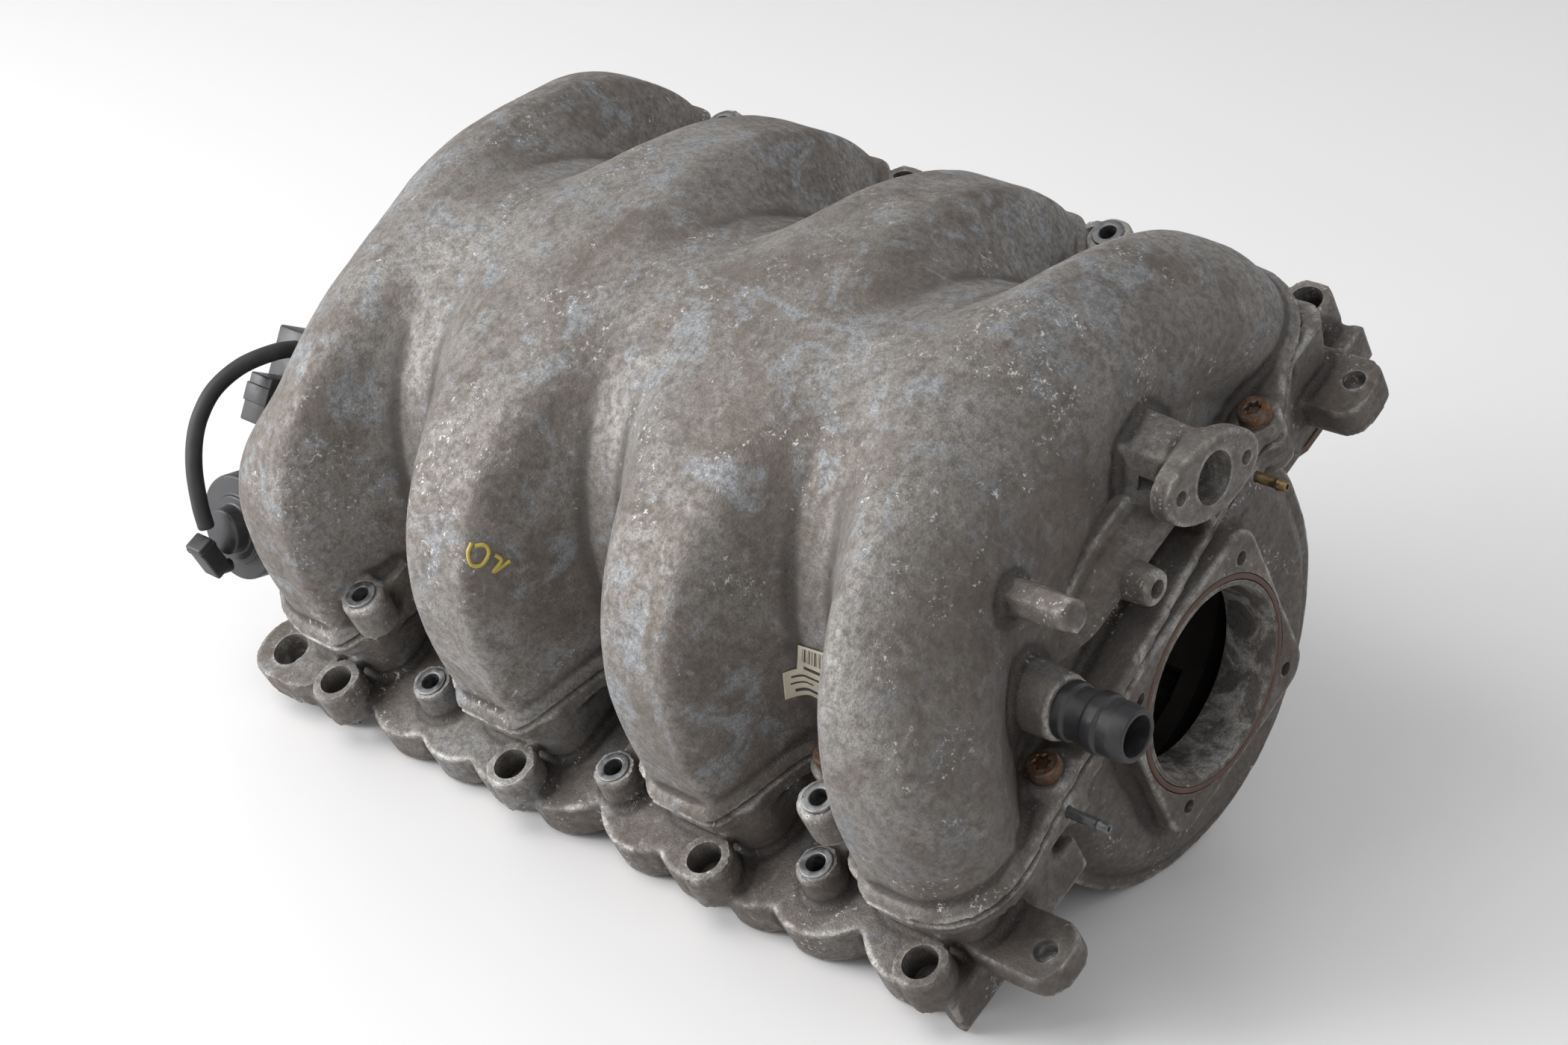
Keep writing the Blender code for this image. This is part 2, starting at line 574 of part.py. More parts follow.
def build_lower_shell():
    deck = plate_mesh(seam_outline(0.0035, FRONT_LEDGE, REAR_LEDGE), DECK_BOTTOM, SEAM_Z)
    shell = Builder("lower_shell", deck, CASTING)
    shell.add(cylinder_mesh(DRUM_RADIUS, (0, DRUM_FRONT, DRUM_Z), (0, DRUM_REAR, DRUM_Z), 36))
    shell.add(cylinder_mesh(DRUM_RADIUS - 0.003, (0, DRUM_FRONT + 0.002, DRUM_Z),
                            (0, DRUM_FRONT - 0.007, DRUM_Z),
                            28, DRUM_RADIUS - 0.016))
    shell.add(cylinder_mesh(0.050, (0, DRUM_FRONT, THROTTLE_Z), (0, THROTTLE_Y + 0.006, THROTTLE_Z), 24,
                            0.046))
    shell.add(throttle_flange_mesh())
    for side in (-1, 1):
        shell.add(plate_mesh(flange_outline(side), FLANGE_BOTTOM, FLANGE_TOP))
    for side, foot, bolt in runner_feet():
        shell.add(loft_mesh(foot_rings(foot, (0.058, 0.060, 0.012), (0.050, 0.052, 0.014),
                                       (SEAM_Z - 0.0005, FLANGE_BOTTOM + 0.004))))
        shell.add(cylinder_mesh(0.0112, (*bolt, FLANGE_TOP - 0.004), (*bolt, 0.0), 14, 0.0108))
    for x, y in FLANGE_SLEEVES:
        shell.add(cylinder_mesh(0.0090, (x, y, SLEEVE_BOTTOM), (x, y, 0.0), 10, 0.0086))
        shell.add(box_mesh((0.026, 0.011, 0.011), (x - math.copysign(0.013, x), y, -0.0090)))
    for x, y in SEAM_BOLTS:
        shell.add(cylinder_mesh(0.0095, (x, y, DECK_BOTTOM - 0.006), (x, y, SEAM_Z - 0.0002), 10))
    for x, z in BRACKET_BOLTS:
        shell.add(cylinder_mesh(0.0090, (x, BRACKET_Y - 0.026, z), (x, BRACKET_Y - GAP, z), 12, 0.0075))
    for outline in LUGS:
        shell.add(loft_mesh([rounded_rectangle(outline["centre"], *outline["size"], outline["radius"], z)
                             for z in outline["levels"]]))

    shell.cut(box_mesh((0.30, 0.50, 0.10), (0, 0.010, SEAM_Z + 0.05)))
    shell.cut(cylinder_mesh(DRUM_RADIUS - WALL, (0, DRUM_FRONT + WALL, DRUM_Z),
                            (0, DRUM_REAR - WALL, DRUM_Z), 36))
    shell.cut(cylinder_mesh(BORE_RADIUS, (0, THROTTLE_Y - 0.010, THROTTLE_Z),
                            (0, DRUM_FRONT + 0.020, THROTTLE_Z), 28))
    shell.cut(ring_mesh(0.0440, 0.0410, (0, THROTTLE_Y - 0.005, THROTTLE_Z),
                        (0, THROTTLE_Y + 0.0025, THROTTLE_Z), 28))
    for dx in (-1, 1):
        for dz in (-1, 1):
            x, z = dx * THROTTLE_BOLT, THROTTLE_Z + dz * THROTTLE_BOLT
            shell.cut(cylinder_mesh(0.0030, (x, THROTTLE_Y - 0.010, z), (x, THROTTLE_Y + 0.008, z), 8))
    for side, foot, bolt in runner_feet():
        shell.cut(loft_mesh(foot_rings(foot, (0.048, 0.050, 0.010), (PORT_WIDTH, PORT_LENGTH, 0.012),
                                       (SEAM_Z + 0.010, FLANGE_BOTTOM - 0.006))))
        shell.cut(gasket_groove(foot))
        shell.cut(cylinder_mesh(0.0045, (*bolt, FLANGE_BOTTOM - 0.010), (*bolt, 0.010), 8))
        shell.cut(cylinder_mesh(0.0077, (*bolt, -0.006), (*bolt, 0.010), 12))
    for x, y in FLANGE_SLEEVES:
        shell.cut(cylinder_mesh(0.0072, (x, y, SLEEVE_BOTTOM - 0.010), (x, y, 0.010), 12))
    for x, y in SEAM_BOLTS:
        shell.cut(cylinder_mesh(0.0034, (x, y, DECK_BOTTOM - 0.002), (x, y, SEAM_Z + 0.010), 8))
    for x, z in BRACKET_BOLTS:
        shell.cut(cylinder_mesh(0.0033, (x, BRACKET_Y - 0.012, z), (x, BRACKET_Y + 0.010, z), 8))
    for place in NIPPLES:
        shell.cut(cylinder_mesh(NIPPLE_RADIUS + 2 * GAP, nipple_face(place) + Vector((0, 0.0125, 0)),
                                nipple_face(place) - Vector((0, 0.010, 0)), 10))
    for lug in LUGS:
        x, y = lug["hole"]
        shell.cut(cylinder_mesh(lug["hole_radius"], (x, y, -0.050), (x, y, 0.050), 12))
    for x in (-SHAFT_X, SHAFT_X):
        shell.cut(cylinder_mesh(BUSH_RADIUS + GAP, (x, DRUM_REAR - 0.010, SHAFT_Z),
                                (x, DRUM_REAR + 0.010, SHAFT_Z), 20))
        shell.cut(cylinder_mesh(SHAFT_RADIUS + GAP, (x, DRUM_FRONT + WALL + 0.002, SHAFT_Z),
                                (x, DRUM_FRONT + 0.0015, SHAFT_Z), 16))
    return shell.finish()


def nipple_face(place):
    """Where a nipple comes out of the front edge of the deck."""
    return Vector((place.x, FRONT_LEDGE + SHEAR * place.x, place.z))


def throttle_flange_mesh():
    size = 2 * THROTTLE_BOLT + 0.022
    outline = rounded_rectangle((0.0, 0.0), size, size, 0.011, 0.0)
    return loft_mesh([[(x, y, THROTTLE_Z + z) for x, z, _ in outline] for y in (THROTTLE_Y,
                                                                                THROTTLE_Y + 0.010)])


def ring_loft(centre, inner, outer, low, high):
    """A rounded rectangular ring: inner and outer are (width, length, corner radius)."""
    loops = [rounded_rectangle(centre, *size, z) for size,
             z in ((outer, low), (outer, high), (inner, high), (inner, low))]
    bm = bmesh.new()
    verts = [[bm.verts.new(point) for point in loop] for loop in loops]
    for first, second in zip(verts, verts[1:] + verts[:1]):
        for i in range(len(first)):
            j = (i + 1) % len(first)
            bm.faces.new((first[i], first[j], second[j], second[i]))
    return to_mesh("ring", bm)


def port_ring(foot, clearance, low, high):
    inner = (PORT_WIDTH + 0.004 - 2 * clearance, PORT_LENGTH + 0.004 - 2 * clearance, 0.014)
    outer = (inner[0] + 2 * GROOVE_WIDTH + 4 * clearance, inner[1] + 2 * GROOVE_WIDTH + 4 * clearance, 0.018)
    return ring_loft(foot, inner, outer, low, high)


def gasket_groove(foot):
    return port_ring(foot, 0.0, FLANGE_BOTTOM - 0.005, FLANGE_BOTTOM + GROOVE_DEPTH)


def build_port_gaskets():
    for number, (side, foot, _) in enumerate(runner_feet()):
        mesh = port_ring(foot, -GAP, FLANGE_BOTTOM - 0.0005, FLANGE_BOTTOM + GROOVE_DEPTH - GAP)
        bank = "near" if side < 0 else "far"
        add_object(f"port_gasket_{bank}_{number % RUNNERS + 1}", mesh, PARTS, SEAL_RUBBER)


# ---------------------------------------------------------------- fasteners, sleeves, seals and nipples
def torx_head_profile(head_radius, head_height, shank_radius, shank_length):
    """Head with a drive recess, and a shank below it; height 0 is the underside of the head."""
    return [(0.0, head_height - 0.0025), (0.0034, head_height - 0.0020), (0.0034, head_height),
            (head_radius, head_height), (head_radius, 0.0),
            (shank_radius, 0.0), (shank_radius, -shank_length), (0.0, -shank_length)]


def build_seam_bolts():
    profile = torx_head_profile(TORX_HEAD, 0.0055, 0.0029, 0.014)
    for number, (x, y) in enumerate(SEAM_BOLTS, start=1):
        mesh = turned_mesh(profile, (x, y, LEDGE_TOP + 0.0004 + GAP), (0, 0, 1), 8)
        add_object(f"seam_bolt_{number}", mesh, PARTS, BOLT_STEEL)


def build_sleeves():
    for number, (x, y) in enumerate(FLANGE_SLEEVES, start=1):
        mesh = ring_mesh(0.0067, 0.0038, (x, y, SLEEVE_BOTTOM + 0.0002), (x, y, 0.0006), 10)
        add_object(f"flange_sleeve_{number}", mesh, PARTS, SLEEVE_STEEL)
    for number, (x, y) in enumerate(TAB_SLEEVES, start=1):
        mesh = ring_mesh(0.0065, 0.0036, (x, y, SEAM_Z + 0.006), (x, y, TAB_TOP + 0.0012), 12)
        add_object(f"tab_sleeve_{number}", mesh, PARTS, SLEEVE_STEEL)


def build_front_fittings():
    seal = ring_mesh(0.0437, 0.0413, (0, THROTTLE_Y - 0.0004, THROTTLE_Z),
                     (0, THROTTLE_Y + 0.0022, THROTTLE_Z), 28)
    add_object("throttle_seal", seal, PARTS, SEAL_RUBBER)

    seat = NOZZLE_SEAT - GAP
    nozzle = turned_mesh(
        [(0.0109, -0.0240), (0.0098, -0.0300), (0.0078, -0.0300), (0.0072, 0.0250), (0.0079, 0.0250),
         (0.0079, 0.0), (0.0112, 0.0), (0.0112, -0.0040), (0.0100, -0.0050), (0.0100, -0.0120),
         (0.0116, -0.0130), (0.0116, -0.0180), (0.0106, -0.0190)][::-1],
        (-0.068, seat, 0.046), (0, 1, 0), 16)
    add_object("breather_nozzle", nozzle, PARTS, BLACK_PLASTIC)

    for name, place, length, material in (
        ("vacuum_nipple_upper", NIPPLES[0], 0.014, BRASS),
        ("vacuum_nipple_lower", NIPPLES[1], 0.018, SLEEVE_STEEL),
    ):
        profile = [(0.0, 0.012), (NIPPLE_RADIUS, 0.012), (NIPPLE_RADIUS, -length + 0.005),
                   (0.0026, -length + 0.004),
                   (0.0018, -length), (0.0010, -length), (0.0010, -length + 0.004), (0.0,
                                                                                     -length + 0.004)][::-1]
        add_object(name, turned_mesh(profile, nipple_face(place), (0, 1, 0), 10), PARTS, material)


# ---------------------------------------------------------------- plenum tube, flaps and shafts
def flap_frame(side):
    """Turns x to the tube's outward direction at the flap shaft, so z runs along the flap's width."""
    outward = Vector((side * SHAFT_X, 0.0, SHAFT_Z - DRUM_Z)).normalized()
    along = Vector((0, 1, 0))
    width = outward.cross(along)
    return Matrix((outward, along, width)).transposed().to_4x4()


def build_plenum_tube():
    inside, disc = TUBE_RADIUS - TUBE_WALL, DRUM_RADIUS - WALL - 4 * GAP
    centres = [TUBE_FRONT + 0.0015, -0.086, 0.020, 0.126 - 0.003, TUBE_REAR - 0.0015]
    outer = []
    for centre in centres:
        outer += [(TUBE_RADIUS, centre - 0.0015), (disc, centre - 0.0015), (disc, centre + 0.0015),
                  (TUBE_RADIUS, centre + 0.0015)]
    profile = [(inside, TUBE_FRONT)] + outer[1:-1] + [(inside, TUBE_REAR)]
    tube = Builder("plenum_tube", turned_mesh(profile, (0, 0, DRUM_Z), (0, 1, 0), 24), BLACK_PLASTIC)
    for side in (-1, 1):
        shaft = Vector((side * SHAFT_X, 0.0, SHAFT_Z))
        for y in WINDOW_PLACES:
            tube.cut(box_mesh((0.020, WINDOW_LENGTH, WINDOW_WIDTH), shaft + Vector((0, y, 0)),
                              flap_frame(side)))
        tube.cut(cylinder_mesh(SHAFT_RADIUS + 2 * GAP, shaft + Vector((0, TUBE_FRONT - 0.01, 0)),
                               shaft + Vector((0, TUBE_REAR + 0.01, 0)), 12))
    for y in WINDOW_PLACES:
        tube.cut(box_mesh((0.056, WINDOW_LENGTH, 0.030), (0, y, DRUM_Z - TUBE_RADIUS)))
    tube.finish()


def build_shafts_and_flaps():
    for side, bank in ((-1, "near"), (1, "far")):
        pivot = (side * SHAFT_X, 0.0, SHAFT_Z)
        rear = LEVER_REAR if side < 0 else LEVER_FRONT + 0.007
        shaft = cylinder_mesh(SHAFT_RADIUS, (0, DRUM_FRONT + 0.002, 0), (0, rear, 0), 14)
        add_object(f"flap_shaft_{bank}", shaft, PARTS, SHAFT_STEEL, at=pivot)
        bush = ring_mesh(BUSH_RADIUS, SHAFT_RADIUS + GAP, (*pivot[:1], DRUM_REAR - 0.0045, SHAFT_Z),
                         (*pivot[:1], DRUM_REAR + 0.0030, SHAFT_Z), 16)
        add_object(f"shaft_bush_{bank}", bush, PARTS, BRASS)
        for number, y in enumerate(WINDOW_PLACES, start=1):
            length = WINDOW_LENGTH - 0.002
            flap = Builder(f"flap_{bank}_{number}",
                           box_mesh((0.0018, length, WINDOW_WIDTH - 0.002), (0, y, 0), flap_frame(side)),
                           BLACK_PLASTIC, at=pivot)
            flap.add(cylinder_mesh(0.0047, (0, y - length / 2 + 0.0002, 0), (0, y + length / 2 - 0.0002, 0),
                                   12))
            flap.cut(cylinder_mesh(SHAFT_RADIUS + GAP, (0, y - length, 0), (0, y + length, 0), 14))
            flap.finish()


def arm(reach, half_width, low, high):
    """A flat lever arm from the hub to reach, between two heights along y."""
    middle, length = reach / 2, reach.length
    turn = Matrix.Rotation(math.atan2(reach.x, reach.z), 4, "Y")
    return box_mesh((2 * half_width, high - low, length), (middle.x, (low + high) / 2, middle.z), turn)


def bar(place, radius, low, high, sides=14):
    return cylinder_mesh(radius, (place.x, low, place.z), (place.x, high, place.z), sides)


def link_pin():
    """Where the link's pin stands beside each shaft at rest."""
    return LINK_ARM * Vector((-math.sin(HALF_SWING), 0.0, math.cos(HALF_SWING)))


def rod_pin():
    """Where the rod's pin stands beside the near shaft at rest."""
    return LEVER_ARM * (math.sin(HALF_SWING) * ROD_DIRECTION - math.cos(HALF_SWING) * ROD_SIDE)


def build_levers():
    thickness = 0.003
    for side, bank in ((-1, "near"), (1, "far")):
        rear = LEVER_REAR if side < 0 else LEVER_FRONT + 0.007
        origin = Vector((0, 0, 0))
        lever = Builder(f"lever_{bank}", bar(origin, 0.0070, LEVER_FRONT, rear, 18), SHAFT_STEEL,
                        at=(side * SHAFT_X, 0.0, SHAFT_Z))
        lever.add(arm(link_pin(), 0.0042, LEVER_FRONT + 0.0001, LEVER_FRONT + thickness))
        lever.add(bar(link_pin(), 0.0045, LEVER_FRONT + 0.0002, LEVER_FRONT + thickness - 0.0001))
        lever.add(bar(link_pin(), 0.0022, LEVER_FRONT + 0.0010, LINK_HIGH + 0.0010, 12))
        if side < 0:
            low = LEVER_REAR - thickness
            lever.add(arm(rod_pin(), 0.0042, low, LEVER_REAR - 0.0001))
            lever.add(bar(rod_pin(), 0.0045, low + 0.0001, LEVER_REAR - 0.0002))
            lever.add(bar(rod_pin(), 0.0025, low + 0.0010, CAN_END.y + 0.0040, 12))
        lever.cut(bar(origin, SHAFT_RADIUS + GAP, LEVER_FRONT - 0.01, rear + 0.01))
        lever.finish()


def build_link():
    """The bar that makes both levers turn together; its far hole is wider, as that pivot is the open one."""
    pin = Vector((-SHAFT_X, 0.0, SHAFT_Z)) + link_pin()
    span = Vector((2 * SHAFT_X, 0.0, 0.0))
    link = Builder("coupling_link", box_mesh((span.x, LINK_HIGH - LINK_LOW, 0.0070),
                                             (span.x / 2, (LINK_LOW + LINK_HIGH) / 2,
                                              0)), SHAFT_STEEL, at=pin)
    for place, hole in ((Vector((0, 0, 0)), 0.0026), (span, 0.0030)):
        link.add(bar(place, 0.0055, LINK_LOW + 0.0001, LINK_HIGH - 0.0001, 18))
        link.cut(bar(place, hole, LINK_LOW - 0.01, LINK_HIGH + 0.01))
    link.finish()


# ---------------------------------------------------------------- vacuum actuator
def build_actuator():
    outward = -ROD_DIRECTION
    base = [(0.0034, 0.0), (CAN_RADIUS, 0.0), (CAN_RADIUS, 0.0170), (CAN_RIM, 0.0170), (CAN_RIM, BASE_LENGTH),
            (CAN_BORE, BASE_LENGTH), (CAN_BORE, 0.0020), (0.0034, 0.0020)][::-1]
    add_object("actuator_base", turned_mesh(base, CAN_END, outward, 20), PARTS, BLACK_PLASTIC)
    start = BASE_LENGTH + GAP
    cover = [(CAN_BORE, start), (CAN_RIM, start), (CAN_RIM, start + 0.0024), (CAN_RADIUS, start + 0.0024),
             (CAN_RADIUS, COVER_END), (0.0104, COVER_END), (0.0104, STUB_END), (0.0, STUB_END),
             (0.0, COVER_END - 0.0020), (CAN_BORE, COVER_END - 0.0020)][::-1]
    add_object("actuator_cover", turned_mesh(cover, CAN_END, outward, 20), PARTS, BLACK_PLASTIC)

    eye = Vector((-SHAFT_X, CAN_END.y, SHAFT_Z)) + rod_pin()
    mean_drop = LEVER_ARM * (1.0 + math.cos(HALF_SWING)) / 2
    slot = eye + (LEVER_ARM * math.cos(HALF_SWING) - mean_drop) * ROD_SIDE
    across = Matrix.Rotation(math.atan2(ROD_DIRECTION.x, ROD_DIRECTION.z), 4, "Y")
    reach = (eye - CAN_END).dot(ROD_DIRECTION) - 0.004
    rod = Builder("actuator_rod", cylinder_mesh(0.0025, CAN_END + outward * (PISTON_AT + 0.0010),
                                                CAN_END + ROD_DIRECTION * reach, 14), SHAFT_STEEL)
    rod.add(box_mesh((0.0185, 0.0040, 0.0150), slot, across))
    rod.add(turned_mesh([(0.0, PISTON_AT), (0.0170, PISTON_AT), (0.0170, PISTON_AT + 0.0020),
                         (0.0, PISTON_AT + 0.0020)],
                        CAN_END, outward, 20))
    slack = LEVER_ARM * (1.0 - math.cos(HALF_SWING))
    pin_radius = 0.0025
    half = slack / 2 + 0.0005
    rod.cut(box_mesh((2 * half, 0.010, 2 * (pin_radius + 0.0007)), slot, across))
    for sign in (-1, 1):
        end = slot + sign * half * ROD_SIDE
        rod.cut(bar(end, pin_radius + 0.0007, end.y - 0.006, end.y + 0.006, 14))
    rod.finish()
    diaphragm = turned_mesh([(0.0, 0.0054), (0.0196, 0.0054), (0.0200, 0.0066), (0.0, 0.0066)], CAN_END,
                            outward, 20)
    add_object("diaphragm", diaphragm, PARTS, BLACK_RUBBER)

    turns, wire, radius = 3.5, 0.0009, 0.0090
    low, high = 0.0066 + STROKE + 0.0016 + wire, COVER_END - 0.0020 - GAP - wire
    side = Vector((0, 1, 0))
    points = []
    steps = int(turns * 9)
    for i in range(steps + 1):
        angle = 2 * math.pi * turns * i / steps
        around = math.cos(angle) * ROD_SIDE + math.sin(angle) * side
        points.append(CAN_END + outward * (low + (high - low) * i / steps) + radius * around)
    add_wire("return_spring", points, wire, SHAFT_STEEL, resolution=1)


def build_bracket():
    across = Matrix.Rotation(math.atan2(ROD_DIRECTION.x, ROD_DIRECTION.z), 4, "Y")
    cheek = CAN_END + ROD_DIRECTION * 0.0016
    cheek.y = (BRACKET_Y + 0.252) / 2
    bracket = Builder("actuator_bracket",
                      box_mesh((0.044, 0.252 - BRACKET_Y, 0.0024), cheek, across), SHAFT_STEEL)
    strip = cheek + 0.040 * ROD_SIDE
    strip.y = (BRACKET_Y + 0.2202) / 2
    bracket.add(box_mesh((0.050, 0.2202 - BRACKET_Y - 0.0004, 0.0022), strip, across))
    bracket.add(box_mesh((0.044, BRACKET_THICKNESS, 0.033),
                         (-0.112, BRACKET_Y + BRACKET_THICKNESS / 2 + 0.0001, -0.0095)))
    bracket.cut(cylinder_mesh(0.0045, CAN_END - ROD_DIRECTION * 0.01, CAN_END + ROD_DIRECTION * 0.01, 16))
    for x, z in BRACKET_BOLTS:
        bracket.cut(cylinder_mesh(0.0034, (x, BRACKET_Y - 0.01, z), (x, BRACKET_Y + 0.01, z), 10))
    bracket.finish()
    profile = torx_head_profile(0.0055, 0.0040, 0.0029, 0.012)
    x, z = BRACKET_BOLTS[0]
    mesh = turned_mesh(profile, (x, BRACKET_Y + BRACKET_THICKNESS + 2 * GAP, z), (0, 1, 0), 10)
    add_object("bracket_bolt", mesh, PARTS, BOLT_STEEL)


# ---------------------------------------------------------------- solenoid valve and its hose
def valve_place(side, y, up):
    return VALVE_CENTRE + side * VALVE_SIDE + Vector((0, y, 0)) + up * VALVE_UP


def build_valve():
    body = Builder("solenoid_valve", box_mesh(VALVE_SIZE, VALVE_CENTRE, VALVE_TURN), BLACK_PLASTIC)
    body.add(box_mesh((0.0255, 0.018, 0.003), valve_place(0.0, 0.0, -0.0125), VALVE_TURN))
    body.finish()
    low = -VALVE_SIZE.z / 2 - 0.0012
    cap = cylinder_mesh(0.0080, valve_place(0.006, 0.0, low - GAP), valve_place(0.006, 0.0, low - 0.015),
                        16, 0.0076)
    add_object("coil_cap", cap, PARTS, BLACK_PLASTIC)
    plug = Builder("valve_connector",
                   box_mesh((0.014, 0.014, 0.021), valve_place(-0.0205, -0.002, -0.0185), VALVE_TURN),
                   BLACK_PLASTIC)
    plug.add(box_mesh((0.012, 0.012, 0.007), valve_place(-0.0095, -0.002, low - GAP - 0.0037), VALVE_TURN))
    plug.cut(box_mesh((0.011, 0.011, 0.014), valve_place(-0.0205, -0.002, -0.0270), VALVE_TURN))
    plug.finish()

    add_wire("vacuum_hose", smooth_route(HOSE_ROUTE, 3), HOSE_RADIUS, BLACK_RUBBER)

    elbow = Builder("hose_elbow", box_mesh((0.0085, 0.0100, 0.0190), (-0.1458, 0.2275, 0.0310)),
                    BLACK_PLASTIC)
    elbow.add(cylinder_mesh(0.0030, (-0.1448, 0.2275, 0.0215),
                            Vector((-0.1448, 0.2275, 0.0215)) + 0.0050 * ROD_DIRECTION, 12))
    elbow.finish()


def main():
    build_upper_shell()
    build_lower_shell()
    build_port_gaskets()
    build_seam_bolts()
    build_sleeves()
    build_front_fittings()
    build_plenum_tube()
    build_shafts_and_flaps()
    build_levers()
    build_link()
    build_actuator()
    build_bracket()
    build_valve()


main()
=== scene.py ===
"""Looks of the two-bank intake manifold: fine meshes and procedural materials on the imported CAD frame.

Shapes are laid out in the engine frame (x across the banks, y along the crankshaft, z up from the flange bosses)
and carried into the row frame by ENGINE, the roll with which the part lies on the bench.
"""

import json
import math

import bmesh
import bpy
import numpy as np
from mathutils import Matrix, Vector


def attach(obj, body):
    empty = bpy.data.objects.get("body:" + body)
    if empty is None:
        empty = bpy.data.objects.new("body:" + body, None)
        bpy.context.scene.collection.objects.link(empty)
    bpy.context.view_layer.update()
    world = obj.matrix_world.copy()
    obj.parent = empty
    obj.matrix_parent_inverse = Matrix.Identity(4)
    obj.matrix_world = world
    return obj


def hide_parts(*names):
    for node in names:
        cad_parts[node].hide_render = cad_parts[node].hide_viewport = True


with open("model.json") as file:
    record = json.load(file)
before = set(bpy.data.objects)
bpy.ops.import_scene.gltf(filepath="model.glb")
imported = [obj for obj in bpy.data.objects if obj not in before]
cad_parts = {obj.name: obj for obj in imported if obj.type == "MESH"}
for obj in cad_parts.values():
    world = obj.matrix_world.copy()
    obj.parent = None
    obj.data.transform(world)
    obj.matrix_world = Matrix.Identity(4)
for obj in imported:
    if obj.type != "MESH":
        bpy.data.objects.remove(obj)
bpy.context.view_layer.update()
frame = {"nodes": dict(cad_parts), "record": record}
NODES = frame["nodes"]

# ---------------------------------------------------------------- dimensions, as in the CAD (metres)
REST_AT = Vector((0.0021, -0.0194, 0.1139))
PITCH, RUNNERS = 0.106, 4
GAP, WALL = 0.0003, 0.004
SEAM_Z, LEDGE_TOP = 0.018, 0.025
FIRST_CREST, SHEAR = -0.139, 0.122
CREST_HALF_WIDTH, CREST_RISE = 0.150, 0.113
VALLEY_HALF_WIDTH, VALLEY_RISE = 0.103, 0.111
CREST_POWER = {-1: 3.0, 1: 1.68}
VALLEY_POWER = {-1: 2.3, 1: 1.55}
CORNER_LOW, WALL_SCALE = 0.030, 0.135
FRONT_END = {"wall": -0.158, "near": -0.174, "far": -0.165, "sign": -1, "top": 0.060}
REAR_END = {"wall": 0.196, "near": 0.213, "far": 0.212, "sign": 1, "top": 0.042}
FRONT_LEDGE, REAR_LEDGE, LEDGE_HALF_WIDTH = -0.178, 0.192, 0.095
DRUM_RADIUS, DRUM_Z, DRUM_FRONT, DRUM_REAR = 0.090, -0.028, -0.163, 0.199
DECK_BOTTOM, FLANGE_BOTTOM, FLANGE_TOP = 0.009, -0.032, -0.014
BANK_X, BANK_OFFSET, FIRST_NEAR_BOLT, FOOT_X = 0.160, 0.036, -0.166, 0.119
BORE_RADIUS, THROTTLE_Y, THROTTLE_Z, THROTTLE_BOLT = 0.0385, -0.181, -0.0285, 0.035
LOBE_REACH, FLANGE_EDGE = 0.166, 0.137
PORT_WIDTH, PORT_LENGTH = 0.036, 0.042
SHAFT_X, SHAFT_Z = 0.0575, 0.001
BRACKET_Y, BRACKET_BOLTS = 0.1994, [(-0.128, -0.002), (-0.104, -0.016)]
TORX_X, SLEEVE_X, TAB_TOP, SLEEVE_BOTTOM = 0.1125, 0.143, 0.040, -0.0130
LEVER_FRONT = 0.2035
NOZZLE_X, NOZZLE_SEAT, NOZZLE_Z, AIR_PORT_Y = -0.068, -0.185, 0.046, -0.185
BOSS_RADIUS, SEAM_BOSS_RADIUS = 0.0112, 0.0097
TAB_HOLE, SLEEVE_HOLE, AIR_HOLE, NOZZLE_HOLE, SMALL_HOLE, SCREW_HOLE, NIPPLE_HOLE = (
    0.0067, 0.0068, 0.0104, 0.0083, 0.0038, 0.0030, 0.0024)  # radii
VOXEL = 0.0015
PAST = 0.010  # how far a hole's cutter stands out of the surface
ROD_DIRECTION = Vector((0.82, 0.0, -0.57)).normalized()
CAN_END = Vector((-0.095, 0.228, 0.006))

ROLL = math.asin(DRUM_RADIUS / math.hypot(LOBE_REACH, FLANGE_BOTTOM - DRUM_Z)) + math.atan2(
    FLANGE_BOTTOM - DRUM_Z, LOBE_REACH)
ENGINE = Matrix.Translation(REST_AT) @ Matrix.Rotation(-ROLL, 4, "Y")


# ---------------------------------------------------------------- mesh helpers
def to_object(name, bm, material=None, smooth_angle=35.0):
    """Makes an object of what is laid out in the engine frame, and frees bm."""
    bmesh.ops.recalc_face_normals(bm, faces=bm.faces)
    mesh = bpy.data.meshes.new(name)
    bm.to_mesh(mesh)
    bm.free()
    obj = bpy.data.objects.new(name, mesh)
    bpy.context.scene.collection.objects.link(obj)
    obj.matrix_world = ENGINE
    if material is not None:
        mesh.materials.append(material)
    mesh.shade_smooth()
    mesh.set_sharp_from_angle(angle=math.radians(smooth_angle))
    return obj


def add_rings(bm, rings, closed_profile=False):
    """Skin rings of equal length; capped at both ends unless the rings form a closed loop themselves."""
    loops = [[bm.verts.new(point) for point in ring] for ring in rings]
    pairs = list(zip(loops, loops[1:]))
    if closed_profile:
        pairs.append((loops[-1], loops[0]))
    count = len(loops[0])
    for first, second in pairs:
        for i in range(count):
            j = (i + 1) % count
            bm.faces.new((first[i], first[j], second[j], second[i]))
    if not closed_profile:
        bm.faces.new(loops[0])
        bm.faces.new(loops[-1])


def axis_turn(direction):
    return Vector((0, 0, 1)).rotation_difference(Vector(direction).normalized()).to_matrix()


